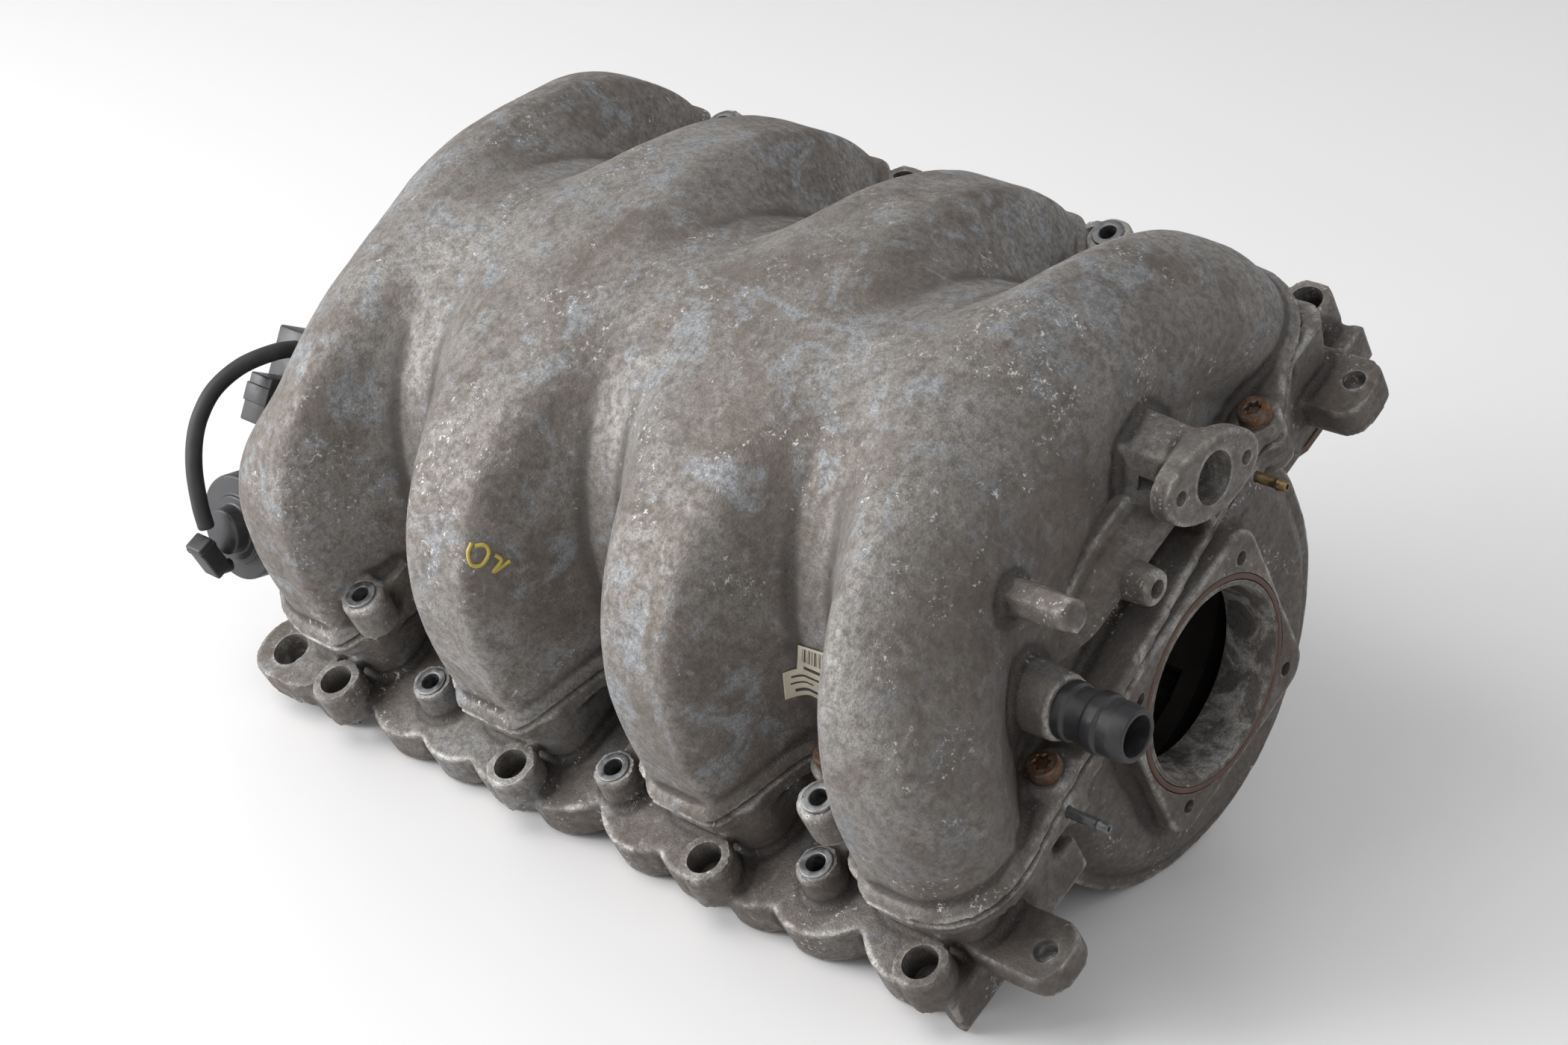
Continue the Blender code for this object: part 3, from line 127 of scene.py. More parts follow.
def softened(profile, radius):
    """Rounds every corner of a closed profile of (radius, height) points, apart from those on the axis."""
    result = []
    count = len(profile)
    for i, point in enumerate(profile):
        here = Vector(point[:2])
        before, after = Vector(profile[i - 1][:2]), Vector(profile[(i + 1) % count][:2])
        if here.x < 1e-6 or (before - here).length < 1e-6 or (after - here).length < 1e-6:
            result.append(tuple(here))
            continue
        reach = min(radius, 0.45 * (before - here).length, 0.45 * (after - here).length)
        start = here + (before - here).normalized() * reach
        end = here + (after - here).normalized() * reach
        for t in (0.0, 0.35, 0.65, 1.0):
            result.append(tuple((1 - t) ** 2 * start + 2 * t * (1 - t) * here + t * t * end))
    return result


def add_turned(bm, profile, start, direction, sides=64, lobes=None):
    """A closed profile turned about an axis; lobes gives the six-lobed swing of chosen profile points."""
    turn = axis_turn(direction)
    start = Vector(start)
    rings = []
    for k, (radius, height) in enumerate(profile):
        swing = (lobes or {}).get(k, 0.0)
        ring = []
        for i in range(sides):
            angle = 2 * math.pi * i / sides
            r = radius + swing * math.cos(6 * angle)
            ring.append(start + turn @ Vector((r * math.cos(angle), r * math.sin(angle), height)))
        rings.append(ring)
    fresh = bmesh.new()
    add_rings(fresh, rings, closed_profile=True)
    bmesh.ops.remove_doubles(fresh, verts=fresh.verts, dist=1e-6)
    merge(bm, fresh)


def merge(bm, other):
    mesh = bpy.data.meshes.new("merge")
    other.to_mesh(mesh)
    other.free()
    bm.from_mesh(mesh)
    bpy.data.meshes.remove(mesh)


def add_bar(bm, radius, start, end, sides=48, end_radius=None):
    start, end = Vector(start), Vector(end)
    turn = axis_turn(end - start)
    rings = []
    for centre, r in ((start, radius), (end, radius if end_radius is None else end_radius)):
        rings.append([centre + turn @ Vector((r * math.cos(a), r * math.sin(a), 0.0))
                      for a in (2 * math.pi * i / sides for i in range(sides))])
    add_rings(bm, rings)


def add_box(bm, size, centre, turn=None, bevel=0.0):
    fresh = bmesh.new()
    matrix = Matrix.Translation(centre) @ (turn or Matrix.Identity(4)) @ Matrix.Diagonal((*size, 1.0))
    bmesh.ops.create_cube(fresh, size=1.0, matrix=matrix)
    if bevel:
        bmesh.ops.bevel(fresh, geom=list(fresh.edges), offset=bevel, segments=3, profile=0.5, affect="EDGES")
    merge(bm, fresh)


def add_plate(bm, outline, low, high):
    add_rings(bm, [[Vector((x, y, z)) for x, y in outline] for z in (low, high)])


def rounded_rectangle(centre, width, length, radius, z, steps=8):
    points = []
    for quarter in range(4):
        sx, sy = ((1, 1), (-1, 1), (-1, -1), (1, -1))[quarter]
        corner = (centre[0] + sx * (width / 2 - radius), centre[1] + sy * (length / 2 - radius))
        for step in range(steps + 1):
            angle = math.pi / 2 * (quarter + step / steps)
            points.append((corner[0] + radius * math.cos(angle), corner[1] + radius * math.sin(angle), z))
    return points


def smooth_step(low, high, value):
    t = min(1.0, max(0.0, (value - low) / (high - low)))
    return t * t * (3 - 2 * t)


# ---------------------------------------------------------------- the runner arch
CRESTS = [FIRST_CREST + PITCH * i for i in range(RUNNERS)]


def ridge_weight(s):
    """1 on a runner's crest and beyond the outer ones, 0 in the valley between two runners."""
    if s < CRESTS[0] or s > CRESTS[-1]:
        return 1.0
    nearest = min(abs(s - crest) for crest in CRESTS)
    return 1.0 - smooth_step(0.25, 0.85, nearest / (PITCH / 2))


def arch_point(turn, s, scale=1.0):
    """Across and height of the hump's skin; turn runs from 0 at the near foot over the top to pi at the far foot."""
    cosine, sine = math.cos(turn), abs(math.sin(turn))
    side = -1 if cosine > 0 else 1

    def profile(half_width, rise, power):
        return Vector((side * half_width * abs(cosine) ** (2 / power), rise * sine ** (2 / power)))

    crest = profile(CREST_HALF_WIDTH, CREST_RISE, CREST_POWER[side])
    valley = profile(VALLEY_HALF_WIDTH, VALLEY_RISE, VALLEY_POWER[side])
    return scale * valley.lerp(crest, ridge_weight(s))


def end_shape(turn, end):
    """How far an end wall reaches along the hump, and the radius of its upper corner."""
    across = -math.cos(turn)
    reach = end["near"] if across < 0 else end["far"]
    bulge = smooth_step(0.55, 0.95, abs(across))
    return end["wall"] + (reach - end["wall"]) * bulge, end["top"] + (CORNER_LOW - end["top"]) * abs(across)


def wall_station(fraction, end):
    def place(turn):
        reach, radius = end_shape(turn, end)
        s = end["wall"] + (reach - end["wall"]) * smooth_step(0.70, 1.0, fraction)
        return reach, s, fraction * (1.0 - radius / WALL_SCALE)
    return place


def corner_station(phi, end):
    def place(turn):
        reach, radius = end_shape(turn, end)
        s = reach - end["sign"] * radius * (1.0 - math.cos(phi))
        return s, s, 1.0 - radius / WALL_SCALE * (1.0 - math.sin(phi))
    return place


def body_station(step):
    def place(turn):
        front, front_radius = end_shape(turn, FRONT_END)
        rear, rear_radius = end_shape(turn, REAR_END)
        s = front + front_radius + (rear - rear_radius - front - front_radius) * step
        return s, s, 1.0
    return place


def skin_point(turn, station):
    shape_s, s, scale = station(turn)
    x, height = arch_point(turn, shape_s, scale)
    return Vector((x, s + SHEAR * x, SEAM_Z + GAP + height))


def corner_angles(steps):
    return [math.pi / 2 * i / steps for i in range(steps)]


def add_arch(bm, turns=96, steps=150):
    """The whole hump as a closed solid, flat on the seam."""
    wall = [i / 12 for i in range(12)]
    stations = [wall_station(f, FRONT_END) for f in wall]
    stations += [corner_station(phi, FRONT_END) for phi in corner_angles(9)]
    stations += [body_station(i / steps) for i in range(steps + 1)]
    stations += [corner_station(phi, REAR_END) for phi in reversed(corner_angles(9))]
    stations += [wall_station(f, REAR_END) for f in reversed(wall)]
    fresh = bmesh.new()
    angles = [math.pi * i / turns for i in range(turns + 1)]
    rings = [[fresh.verts.new(skin_point(angle, station)) for angle in angles] for station in stations]
    for first, second in zip(rings, rings[1:]):
        for i in range(turns):
            fresh.faces.new((first[i], second[i], second[i + 1], first[i + 1]))
    bmesh.ops.remove_doubles(fresh, verts=fresh.verts, dist=0.00003)
    border = [edge for edge in fresh.edges if len(edge.link_faces) == 1]
    bmesh.ops.holes_fill(fresh, edges=border, sides=0)
    bmesh.ops.triangulate(fresh, faces=[f for f in fresh.faces if len(f.verts) > 4])
    bmesh.ops.recalc_face_normals(fresh, faces=fresh.faces)
    merge(bm, fresh)


def seam_outline(grow, steps=110):
    """The ledge round the seam: the hump's foot grown by so much, with straight edges at the front and the rear."""
    stations = [(corner_station(phi, FRONT_END), -math.cos(phi), math.sin(phi)) for phi in corner_angles(6)]
    stations += [(body_station(i / steps), 0.0, 1.0) for i in range(steps + 1)]
    stations += [(corner_station(phi, REAR_END), math.cos(phi), math.sin(phi)) for phi in reversed(corner_angles(6))]

    def side(turn, sign):
        points = []
        for station, along, outward in stations:
            shape_s, s, scale = station(turn)
            x = sign * (abs(arch_point(turn, shape_s, scale).x) + grow * outward)
            points.append((x, s + grow * along + SHEAR * x))
        return points

    near, far = side(0.0, -1), side(math.pi, 1)
    front = [(x, FRONT_LEDGE + SHEAR * x) for x in (LEDGE_HALF_WIDTH, -LEDGE_HALF_WIDTH)]
    rear = [(x, REAR_LEDGE + SHEAR * x) for x in (-LEDGE_HALF_WIDTH, LEDGE_HALF_WIDTH)]
    return near + rear + far[::-1] + front


def runner_feet():
    feet = []
    for side in (-1, 1):
        for i, crest in enumerate(CRESTS):
            x = side * FOOT_X
            bolt_y = FIRST_NEAR_BOLT + PITCH * i + (BANK_OFFSET if side > 0 else 0.0)
            feet.append((side, Vector((x, crest + SHEAR * x)), Vector((side * BANK_X, bolt_y))))
    return feet


def valley_places(x):
    """The three places between neighbouring runners, so far across."""
    return [(x, crest + PITCH / 2 + SHEAR * x) for crest in CRESTS[:-1]]


SEAM_BOLTS = valley_places(-TORX_X) + valley_places(TORX_X) + [(-0.084, -0.179), (0.084, -0.162)]
FLANGE_SLEEVES = valley_places(-SLEEVE_X) + valley_places(SLEEVE_X)
TAB_SLEEVES = [(-0.137, 0.131), (-0.135, -0.117), (0.136, 0.150), (0.136, -0.062)]
AIR_PORT = Vector((0.034, AIR_PORT_Y, 0.057))
AIR_PORT_EAR = 0.020 * Vector((math.cos(math.radians(26)), 0.0, -math.sin(math.radians(26))))
LUGS = [
    {"centre": (-0.133, -0.190), "size": (0.027, 0.044), "radius": 0.010, "levels": (-0.018, -0.006),
     "hole": (-0.134, -0.202), "hole_radius": 0.0047},
    {"centre": (0.131, -0.152), "size": (0.030, 0.050), "radius": 0.010, "levels": (-0.020, -0.006),
     "hole": (0.134, -0.167), "hole_radius": 0.0047},
    {"centre": (-0.152, 0.190), "size": (0.032, 0.044), "radius": 0.014, "levels": (-0.024, -0.010),
     "hole": (-0.153, 0.195), "hole_radius": 0.0080},
    {"centre": (0.152, 0.228), "size": (0.032, 0.044), "radius": 0.014, "levels": (-0.024, -0.010),
     "hole": (0.153, 0.232), "hole_radius": 0.0080},
]
NIPPLES = [Vector((0.0665, 0.0, 0.0135)), Vector((-0.0900, 0.0, 0.0135))]
SMALL_BOSS = Vector((-0.007, -0.181, 0.0388))


def nipple_face(place):
    return Vector((place.x, FRONT_LEDGE + SHEAR * place.x, place.z))


# ---------------------------------------------------------------- shader helper
class Finish:
    """A Principled material with short calls for the node chains that feed it."""

    def __init__(self, name, metallic, roughness):
        self.material = bpy.data.materials.new(name)
        self.material.use_nodes = True
        self.tree = self.material.node_tree
        self.shader = self.tree.nodes["Principled BSDF"]
        self.shader.inputs["Metallic"].default_value = metallic
        self.shader.inputs["Roughness"].default_value = roughness
        self.place = self.tree.nodes.new("ShaderNodeTexCoord").outputs["Object"]

    def set(self, socket, value):
        if isinstance(value, bpy.types.NodeSocket):
            self.tree.links.new(value, socket)
        else:
            socket.default_value = (*value, 1.0) if isinstance(value, tuple) and len(value) == 3 else value

    def noise(self, scale, detail=4.0, rough=0.55, distortion=0.0, stretch=None):
        node = self.tree.nodes.new("ShaderNodeTexNoise")
        node.inputs["Scale"].default_value = scale
        node.inputs["Detail"].default_value = detail
        node.inputs["Roughness"].default_value = rough
        node.inputs["Distortion"].default_value = distortion
        source = self.place
        if stretch is not None:
            mapping = self.tree.nodes.new("ShaderNodeMapping")
            mapping.inputs["Scale"].default_value = stretch
            self.tree.links.new(self.place, mapping.inputs["Vector"])
            source = mapping.outputs["Vector"]
        self.tree.links.new(source, node.inputs["Vector"])
        return node.outputs["Fac"]

    def along(self, axis):
        node = self.tree.nodes.new("ShaderNodeSeparateXYZ")
        self.tree.links.new(self.place, node.inputs["Vector"])
        return node.outputs[axis]

    def attribute(self, name):
        node = self.tree.nodes.new("ShaderNodeAttribute")
        node.attribute_name = name
        return node.outputs["Fac"]

    def span(self, value, low, high, to_low=0.0, to_high=1.0):
        node = self.tree.nodes.new("ShaderNodeMapRange")
        node.interpolation_type = "SMOOTHSTEP"
        self.set(node.inputs["Value"], value)
        for name, number in (("From Min", low), ("From Max", high), ("To Min", to_low), ("To Max", to_high)):
            node.inputs[name].default_value = number
        return node.outputs["Result"]

    def math(self, operation, a, b=0.0):
        node = self.tree.nodes.new("ShaderNodeMath")
        node.operation = operation
        node.use_clamp = operation in ("ADD", "SUBTRACT", "MULTIPLY")
        self.set(node.inputs[0], a)
        self.set(node.inputs[1], b)
        return node.outputs[0]

    def mix(self, factor, a, b, blend="MIX"):
        node = self.tree.nodes.new("ShaderNodeMix")
        node.data_type = "RGBA"
        node.blend_type = blend
        self.set(node.inputs["Factor"], factor)
        self.set(node.inputs["A"], a)
        self.set(node.inputs["B"], b)
        return node.outputs["Result"]

    def bump(self, height, strength, distance):
        node = self.tree.nodes.new("ShaderNodeBump")
        node.inputs["Strength"].default_value = strength
        node.inputs["Distance"].default_value = distance
        self.tree.links.new(height, node.inputs["Height"])
        self.tree.links.new(node.outputs["Normal"], self.shader.inputs["Normal"])

    def colour(self, value):
        self.set(self.shader.inputs["Base Color"], value)

    def rough(self, value):
        self.set(self.shader.inputs["Roughness"], value)


# ---------------------------------------------------------------- materials
def casting_material():
    f = Finish("weathered_casting", 0.38, 0.6)
    broad = f.noise(11.0, 5.0, 0.62, 0.8)
    patch = f.noise(34.0, 7.0, 0.68, 1.4)
    cloud = f.noise(75.0, 6.0, 0.70, 0.8)
    fine = f.noise(300.0, 5.0, 0.72)
    grain = f.noise(1050.0, 3.0, 0.65)
    stain = f.noise(21.0, 7.0, 0.72, 1.8)
    base = f.mix(f.span(broad, 0.38, 0.62), (0.158, 0.134, 0.115), (0.262, 0.247, 0.230))
    base = f.mix(f.math("MULTIPLY", f.span(patch, 0.50, 0.63), 0.75), base, (0.285, 0.305, 0.325))
    base = f.mix(f.math("MULTIPLY", f.span(stain, 0.52, 0.66), 0.70), base, (0.120, 0.092, 0.070))
    base = f.mix(f.math("MULTIPLY", f.span(cloud, 0.54, 0.66), 0.45), base, (0.350, 0.340, 0.325))
    base = f.mix(f.math("MULTIPLY", f.span(cloud, 0.46, 0.34), 0.45), base, (0.092, 0.078, 0.066))
    base = f.mix(f.span(fine, 0.42, 0.66, 0.0, 0.55), base, (0.088, 0.078, 0.070))
    # darker towards the bottom, painted shade on the front wall, and grime with painted shade in the hollows
    low = f.math("MULTIPLY", f.span(f.along("Z"), 0.060, -0.020), f.span(stain, 0.34, 0.60, 0.25, 0.75))
    # painted shade: the front wall is darkened in patches, as shade on the side away from the lamps
    front = f.math("MULTIPLY", f.span(f.along("Y"), -0.125, -0.172), f.span(patch, 0.36, 0.60, 0.30, 0.80))
    base = f.mix(f.math("ADD", f.math("MULTIPLY", low, 0.60), f.math("MULTIPLY", front, 0.60)), base,
                 (0.074, 0.058, 0.046))
    # painted shade in hollows, standing in for occlusion, together with the grime that sits there
    cavity = f.attribute("cavity")
    hollow_grime_and_shade = f.math("MULTIPLY", f.span(cavity, 0.08, 0.70), f.span(fine, 0.72, 0.32, 0.60, 0.97))
    base = f.mix(hollow_grime_and_shade, base, (0.030, 0.024, 0.020))
    edge = f.math("MULTIPLY", f.span(f.attribute("edge"), 0.42, 0.95), f.span(cloud, 0.42, 0.60, 0.08, 0.75))
    base = f.mix(edge, base, (0.430, 0.410, 0.385))
    flecks = f.math("MULTIPLY", f.span(f.noise(430.0, 4.0, 0.78), 0.57, 0.63),
                    f.span(f.noise(26.0, 5.0, 0.7, 1.0), 0.52, 0.62))
    base = f.mix(flecks, base, (0.620, 0.615, 0.600))
    base = f.mix(f.span(grain, 0.40, 0.62, 0.0, 0.42), base, (0.095, 0.088, 0.082))
    f.colour(base)
    f.rough(f.math("SUBTRACT", f.span(fine, 0.30, 0.70, 0.46, 0.76), f.math("MULTIPLY", edge, 0.18)))
    height = f.math("ADD", f.math("MULTIPLY", grain, 0.40), f.math("MULTIPLY", fine, 0.60))
    f.bump(f.math("SUBTRACT", height, f.math("MULTIPLY", flecks, 0.20)), 0.62, 0.0011)
    return f.material


def metal_material(name, light, dark, roughness, rust=0.0, metallic=0.85):
    f = Finish(name, metallic, roughness)
    wear = f.noise(180.0, 5.0, 0.65, 0.5)
    fine = f.noise(900.0, 3.0, 0.6)
    base = f.mix(f.span(wear, 0.35, 0.68), dark, light)
    if rust:
        rusty = f.mix(f.span(fine, 0.35, 0.65), (0.110, 0.046, 0.020), (0.205, 0.100, 0.050))
        base = f.mix(f.math("MULTIPLY", f.span(f.noise(260.0, 5.0, 0.7, 0.8), 0.40, 0.58), rust), base, rusty)
    f.colour(base)
    f.rough(f.span(wear, 0.30, 0.70, roughness - 0.10, roughness + 0.14))
    f.bump(fine, 0.25, 0.0003)
    return f.material


def plastic_material(name, colour, dusty, roughness, grain=1400.0):
    f = Finish(name, 0.0, roughness)
    cloud = f.noise(70.0, 5.0, 0.6, 0.6)
    fine = f.noise(grain, 2.0, 0.6)
    f.colour(f.mix(f.span(cloud, 0.42, 0.72, 0.0, 0.55), colour, dusty))
    f.rough(f.span(cloud, 0.30, 0.70, roughness - 0.10, roughness + 0.12))
    f.bump(fine, 0.22, 0.0003)
    return f.material


def floor_material():
    f = Finish("studio_floor", 0.0, 0.42)
    f.colour(f.mix(f.noise(1.2, 2.0, 0.5), (0.80, 0.79, 0.785), (0.83, 0.82, 0.815)))
    return f.material


CASTING = casting_material()
SLEEVE_STEEL = metal_material("dull_sleeve_steel", (0.250, 0.255, 0.262), (0.120, 0.118, 0.116), 0.46)
BOLT_STEEL = metal_material("rusty_bolt_steel", (0.220, 0.175, 0.145), (0.095, 0.070, 0.055), 0.58, rust=0.85)
SHAFT_STEEL = metal_material("zinc_plated_steel", (0.480, 0.480, 0.470), (0.300, 0.290, 0.270), 0.36, rust=0.12)
BRASS = metal_material("tarnished_brass", (0.330, 0.240, 0.130), (0.135, 0.090, 0.048), 0.44)
PLASTIC = plastic_material("black_moulded_plastic", (0.016, 0.016, 0.018), (0.060, 0.056, 0.053), 0.46)
RUBBER = plastic_material("black_hose_rubber", (0.013, 0.013, 0.014), (0.050, 0.047, 0.045), 0.62, grain=2200.0)
SEAL = plastic_material("brown_seal_rubber", (0.075, 0.036, 0.022), (0.140, 0.085, 0.060), 0.60)
PAPER = plastic_material("label_paper", (0.520, 0.480, 0.380), (0.380, 0.330, 0.245), 0.60)
INK = plastic_material("label_ink", (0.035, 0.032, 0.030), (0.080, 0.072, 0.062), 0.60)
PAINT = plastic_material("yellow_marker", (0.420, 0.330, 0.060), (0.300, 0.240, 0.070), 0.55)
# painted shade: near black for the plenum tube and the flaps, which sit in the shade inside the drum
INSIDE_SHADE_PAINT = plastic_material("dark_inside", (0.020, 0.017, 0.015), (0.040, 0.034, 0.030), 0.70)

SLOT_LOOKS = {"casting": CASTING, "sleeve_steel": SLEEVE_STEEL, "bolt_steel": BOLT_STEEL, "shaft_steel": SHAFT_STEEL,
              "brass": BRASS, "black_plastic": PLASTIC, "black_rubber": RUBBER, "seal_rubber": SEAL}


# ---------------------------------------------------------------- the two castings
def apply_modifiers(obj):
    bpy.context.view_layer.update()
    mesh = bpy.data.meshes.new_from_object(obj.evaluated_get(bpy.context.evaluated_depsgraph_get()))
    obj.modifiers.clear()
    old = obj.data
    obj.data = mesh
    bpy.data.meshes.remove(old)


def cast(obj, voxel, smoothing):
    """Welds overlapping solids into one skin, and rounds its inner and outer corners as a casting's are."""
    remesh = obj.modifiers.new("weld", "REMESH")
    remesh.mode = "VOXEL"
    remesh.voxel_size = voxel
    smooth = obj.modifiers.new("fillet", "SMOOTH")
    smooth.factor = 0.5
    smooth.iterations = smoothing
    apply_modifiers(obj)


def carve(obj, bm):
    """Cuts the solids in bm out of obj."""
    bmesh.ops.recalc_face_normals(bm, faces=bm.faces)
    mesh = bpy.data.meshes.new("holes")
    bm.to_mesh(mesh)
    bm.free()
    cutter = bpy.data.objects.new("holes", mesh)
    bpy.context.scene.collection.objects.link(cutter)
    cutter.matrix_world = ENGINE
    boolean = obj.modifiers.new("holes", "BOOLEAN")
    boolean.operation = "DIFFERENCE"
    boolean.solver = "EXACT"
    boolean.use_self = True
    boolean.object = cutter
    apply_modifiers(obj)
    bpy.data.objects.remove(cutter, do_unlink=True)


def mark_relief(obj, shaded_bores):
    """Stores how hollow and how sharp the surface is at each point, for grime with painted shade in hollows, and for
    worn edges.

    Each entry of the bore list is a bore (mouth, direction inwards, radius) whose wall gets painted shade, darker with
    depth.
    """
    mesh = obj.data
    count = len(mesh.vertices)
    points = np.empty(count * 3)
    mesh.vertices.foreach_get("co", points)
    points = points.reshape(-1, 3)
    normals = np.empty(count * 3)
    mesh.vertex_normals.foreach_get("vector", normals)
    normals = normals.reshape(-1, 3)
    ends = np.empty(len(mesh.edges) * 2, np.int64)
    mesh.edges.foreach_get("vertices", ends)
    a, b = ends.reshape(-1, 2).T
    degree = np.bincount(a, minlength=count) + np.bincount(b, minlength=count)
    degree = np.maximum(degree, 1)[:, None]

    def relaxed(values, rounds):
        for _ in range(rounds):
            total = np.zeros_like(values)
            np.add.at(total, a, values[b])
            np.add.at(total, b, values[a])
            values = 0.4 * values + 0.6 * total / degree
        return values

    near = relaxed(points, 3)
    broad = relaxed(near, 22)
    fine_depth = np.einsum("ij,ij->i", near - points, normals)
    broad_depth = np.einsum("ij,ij->i", broad - points, normals)
    cavity = np.clip(broad_depth / 0.0010, 0, 1) * 0.85 + np.clip(fine_depth / 0.00020, 0, 1) * 0.45
    edge = np.clip(-fine_depth / 0.00030, 0, 1) * 0.8 + np.clip(-broad_depth / 0.0020, 0, 1) * 0.3
    for start, along, radius in shaded_bores:
        offset = points - np.array(start)
        depth = offset @ np.array(along)
        away = np.linalg.norm(offset - depth[:, None] * np.array(along), axis=1)
        # the bore's own wall only: not its rim, and not a wall that lies far behind it
        inside = (away < radius + 0.0004) & (depth > 0.0015) & (depth < 4.0 * radius)
        # painted shade: a bore's wall gets darker the deeper it lies
        cavity[inside] = np.clip(depth[inside] / 0.012, 0.35, 1.0)
    for name, values in (("cavity", cavity), ("edge", edge)):
        values = relaxed(np.clip(values, 0, 1)[:, None], 1)[:, 0]
        attribute = mesh.attributes.new(name, "FLOAT", "POINT")
        attribute.data.foreach_set("value", values.astype(np.float32))


def roughen(obj, amount):
    """Slight unevenness of a sand casting, a fraction of a millimetre."""
    texture = bpy.data.textures.new("unevenness", "CLOUDS")
    texture.noise_scale = 0.028
    texture.noise_depth = 3
    displace = obj.modifiers.new("unevenness", "DISPLACE")
    displace.texture = texture
    displace.texture_coords = "LOCAL"
    displace.strength = amount
    displace.mid_level = 0.5
    apply_modifiers(obj)


def finish_casting(obj, holes, name, shaded_bores):
    """Holes, relief for the grime and the painted shade, and the frame's entries for a casting that stands for the
    named node.
    """
    roughen(obj, 0.0010)
    carve(obj, holes)
    mark_relief(obj, shaded_bores)
    mesh = obj.data
    mesh.materials.clear()
    mesh.materials.append(CASTING)
    mesh.shade_smooth()
    mesh.set_sharp_from_angle(angle=math.radians(42))
    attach(obj, "housing")
    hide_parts(name)


def add_oval(bm, port, low, high):
    along = AIR_PORT_EAR.normalized()
    across = Vector((-along.z, 0.0, along.x))
    rings = []
    for depth in (low, high):
        ring = []
        for i in range(72):
            angle = 2 * math.pi * i / 72
            place = along * 0.0285 * math.cos(angle) + across * 0.0165 * math.sin(angle)
            ring.append(port + place + Vector((0, depth, 0)))
        rings.append(ring)
    add_rings(bm, rings)


def build_upper():
    low = SEAM_Z + GAP
    bm = bmesh.new()
    add_arch(bm)
    add_plate(bm, seam_outline(0.0035), low + 0.0002, LEDGE_TOP - 0.0016)
    add_plate(bm, seam_outline(0.0050), low + 0.0004, low + 0.0022)
    for x, y in SEAM_BOLTS:
        add_bar(bm, SEAM_BOSS_RADIUS, (x, y, low + 0.0002), (x, y, LEDGE_TOP + 0.0004))
    for x, y in TAB_SLEEVES:
        inner = x - math.copysign(0.020, x)
        add_bar(bm, 0.0095, (x, y, low + 0.004), (x, y, TAB_TOP))
        add_box(bm, (0.026, 0.010, 0.018), ((x + inner) / 2, y, TAB_TOP - 0.012))
    add_bar(bm, 0.0150, (NOZZLE_X, -0.150, NOZZLE_Z), (NOZZLE_X, NOZZLE_SEAT, NOZZLE_Z), 64, 0.0125)
    add_oval(bm, AIR_PORT, 0.0, 0.009)
    add_bar(bm, 0.0225, (0.030, -0.143, 0.057), AIR_PORT + Vector((-0.001, 0.004, 0)), 6, 0.0172)
    add_bar(bm, 0.0090, (-0.052, -0.150, 0.080), (-0.057, -0.197, 0.0925), 6, 0.0066)
    add_bar(bm, 0.0085, SMALL_BOSS + Vector((0, 0.020, 0)), SMALL_BOSS, 48, 0.0072)
    add_box(bm, (0.004, 0.016, 0.020), (0.034, -0.168, 0.035))
    obj = to_object("visual_upper_casting", bm)
    cast(obj, VOXEL, 3)

    holes = bmesh.new()
    add_box(holes, (0.5, 0.7, 2 * PAST), (0, 0, low - PAST))
    for x, y in SEAM_BOLTS:
        add_turned(holes, [(0.0, -0.010), (0.0034, -0.010), (0.0034, 0.0), (0.0077, 0.0002), (0.0077, 0.012),
                           (0.0, 0.012)], (x, y, LEDGE_TOP + 0.0003), (0, 0, 1), 32)
    for x, y in TAB_SLEEVES:
        add_bar(holes, TAB_HOLE, (x, y, low - PAST), (x, y, TAB_TOP + PAST))
    add_bar(holes, NOZZLE_HOLE, (NOZZLE_X, -0.120, NOZZLE_Z), (NOZZLE_X, NOZZLE_SEAT - PAST, NOZZLE_Z))
    add_bar(holes, AIR_HOLE, (AIR_PORT.x, -0.110, AIR_PORT.z), (AIR_PORT.x, AIR_PORT_Y - PAST, AIR_PORT.z))
    for sign in (-1, 1):
        hole = AIR_PORT + sign * AIR_PORT_EAR
        add_bar(holes, SCREW_HOLE, hole + Vector((0, 0.020, 0)), hole - Vector((0, PAST, 0)), 32)
    add_bar(holes, SMALL_HOLE, SMALL_BOSS + Vector((0, 0.016, 0)), SMALL_BOSS - Vector((0, PAST, 0)), 32)
    add_box(holes, (0.044, 0.012, 0.016), (0.0600, LEVER_FRONT - 0.0006 + 0.006, SEAM_Z + 0.004))
    # bores whose walls get painted shade, darker with depth
    shaded_bores = [((x, y, TAB_TOP), (0, 0, -1), TAB_HOLE) for x, y in TAB_SLEEVES]
    shaded_bores += [((AIR_PORT.x, AIR_PORT_Y, AIR_PORT.z), (0, 1, 0), AIR_HOLE),
              ((NOZZLE_X, NOZZLE_SEAT, NOZZLE_Z), (0, 1, 0), NOZZLE_HOLE)]
    shaded_bores += [(tuple(AIR_PORT + sign * AIR_PORT_EAR), (0, 1, 0), SCREW_HOLE) for sign in (-1, 1)]
    shaded_bores += [(tuple(SMALL_BOSS), (0, 1, 0), SMALL_HOLE)]
    finish_casting(obj, holes, "upper_shell", shaded_bores)


def flange_outline(side):
    feet = [foot for foot in runner_feet() if foot[0] == side]
    lobes = [foot.y + 0.004 for _, foot, _ in feet]
    low, high = lobes[0] - 0.030, lobes[-1] + 0.030
    points = []
    for i in range(241):
        y = low + (high - low) * i / 240
        lobe = max(max(0.0, math.cos(math.pi * (y - centre) / 0.068)) for centre in lobes)
        points.append((side * (FLANGE_EDGE + (LOBE_REACH - FLANGE_EDGE) * lobe ** 0.8), y))
    return points + [(side * 0.086, high), (side * 0.086, low)]


def foot_rings(foot, top, bottom, levels):
    return [[Vector(p) for p in rounded_rectangle(foot, width, length, radius, z)]
            for z, width, length, radius in ((levels[0], *top), (levels[1], *bottom))]


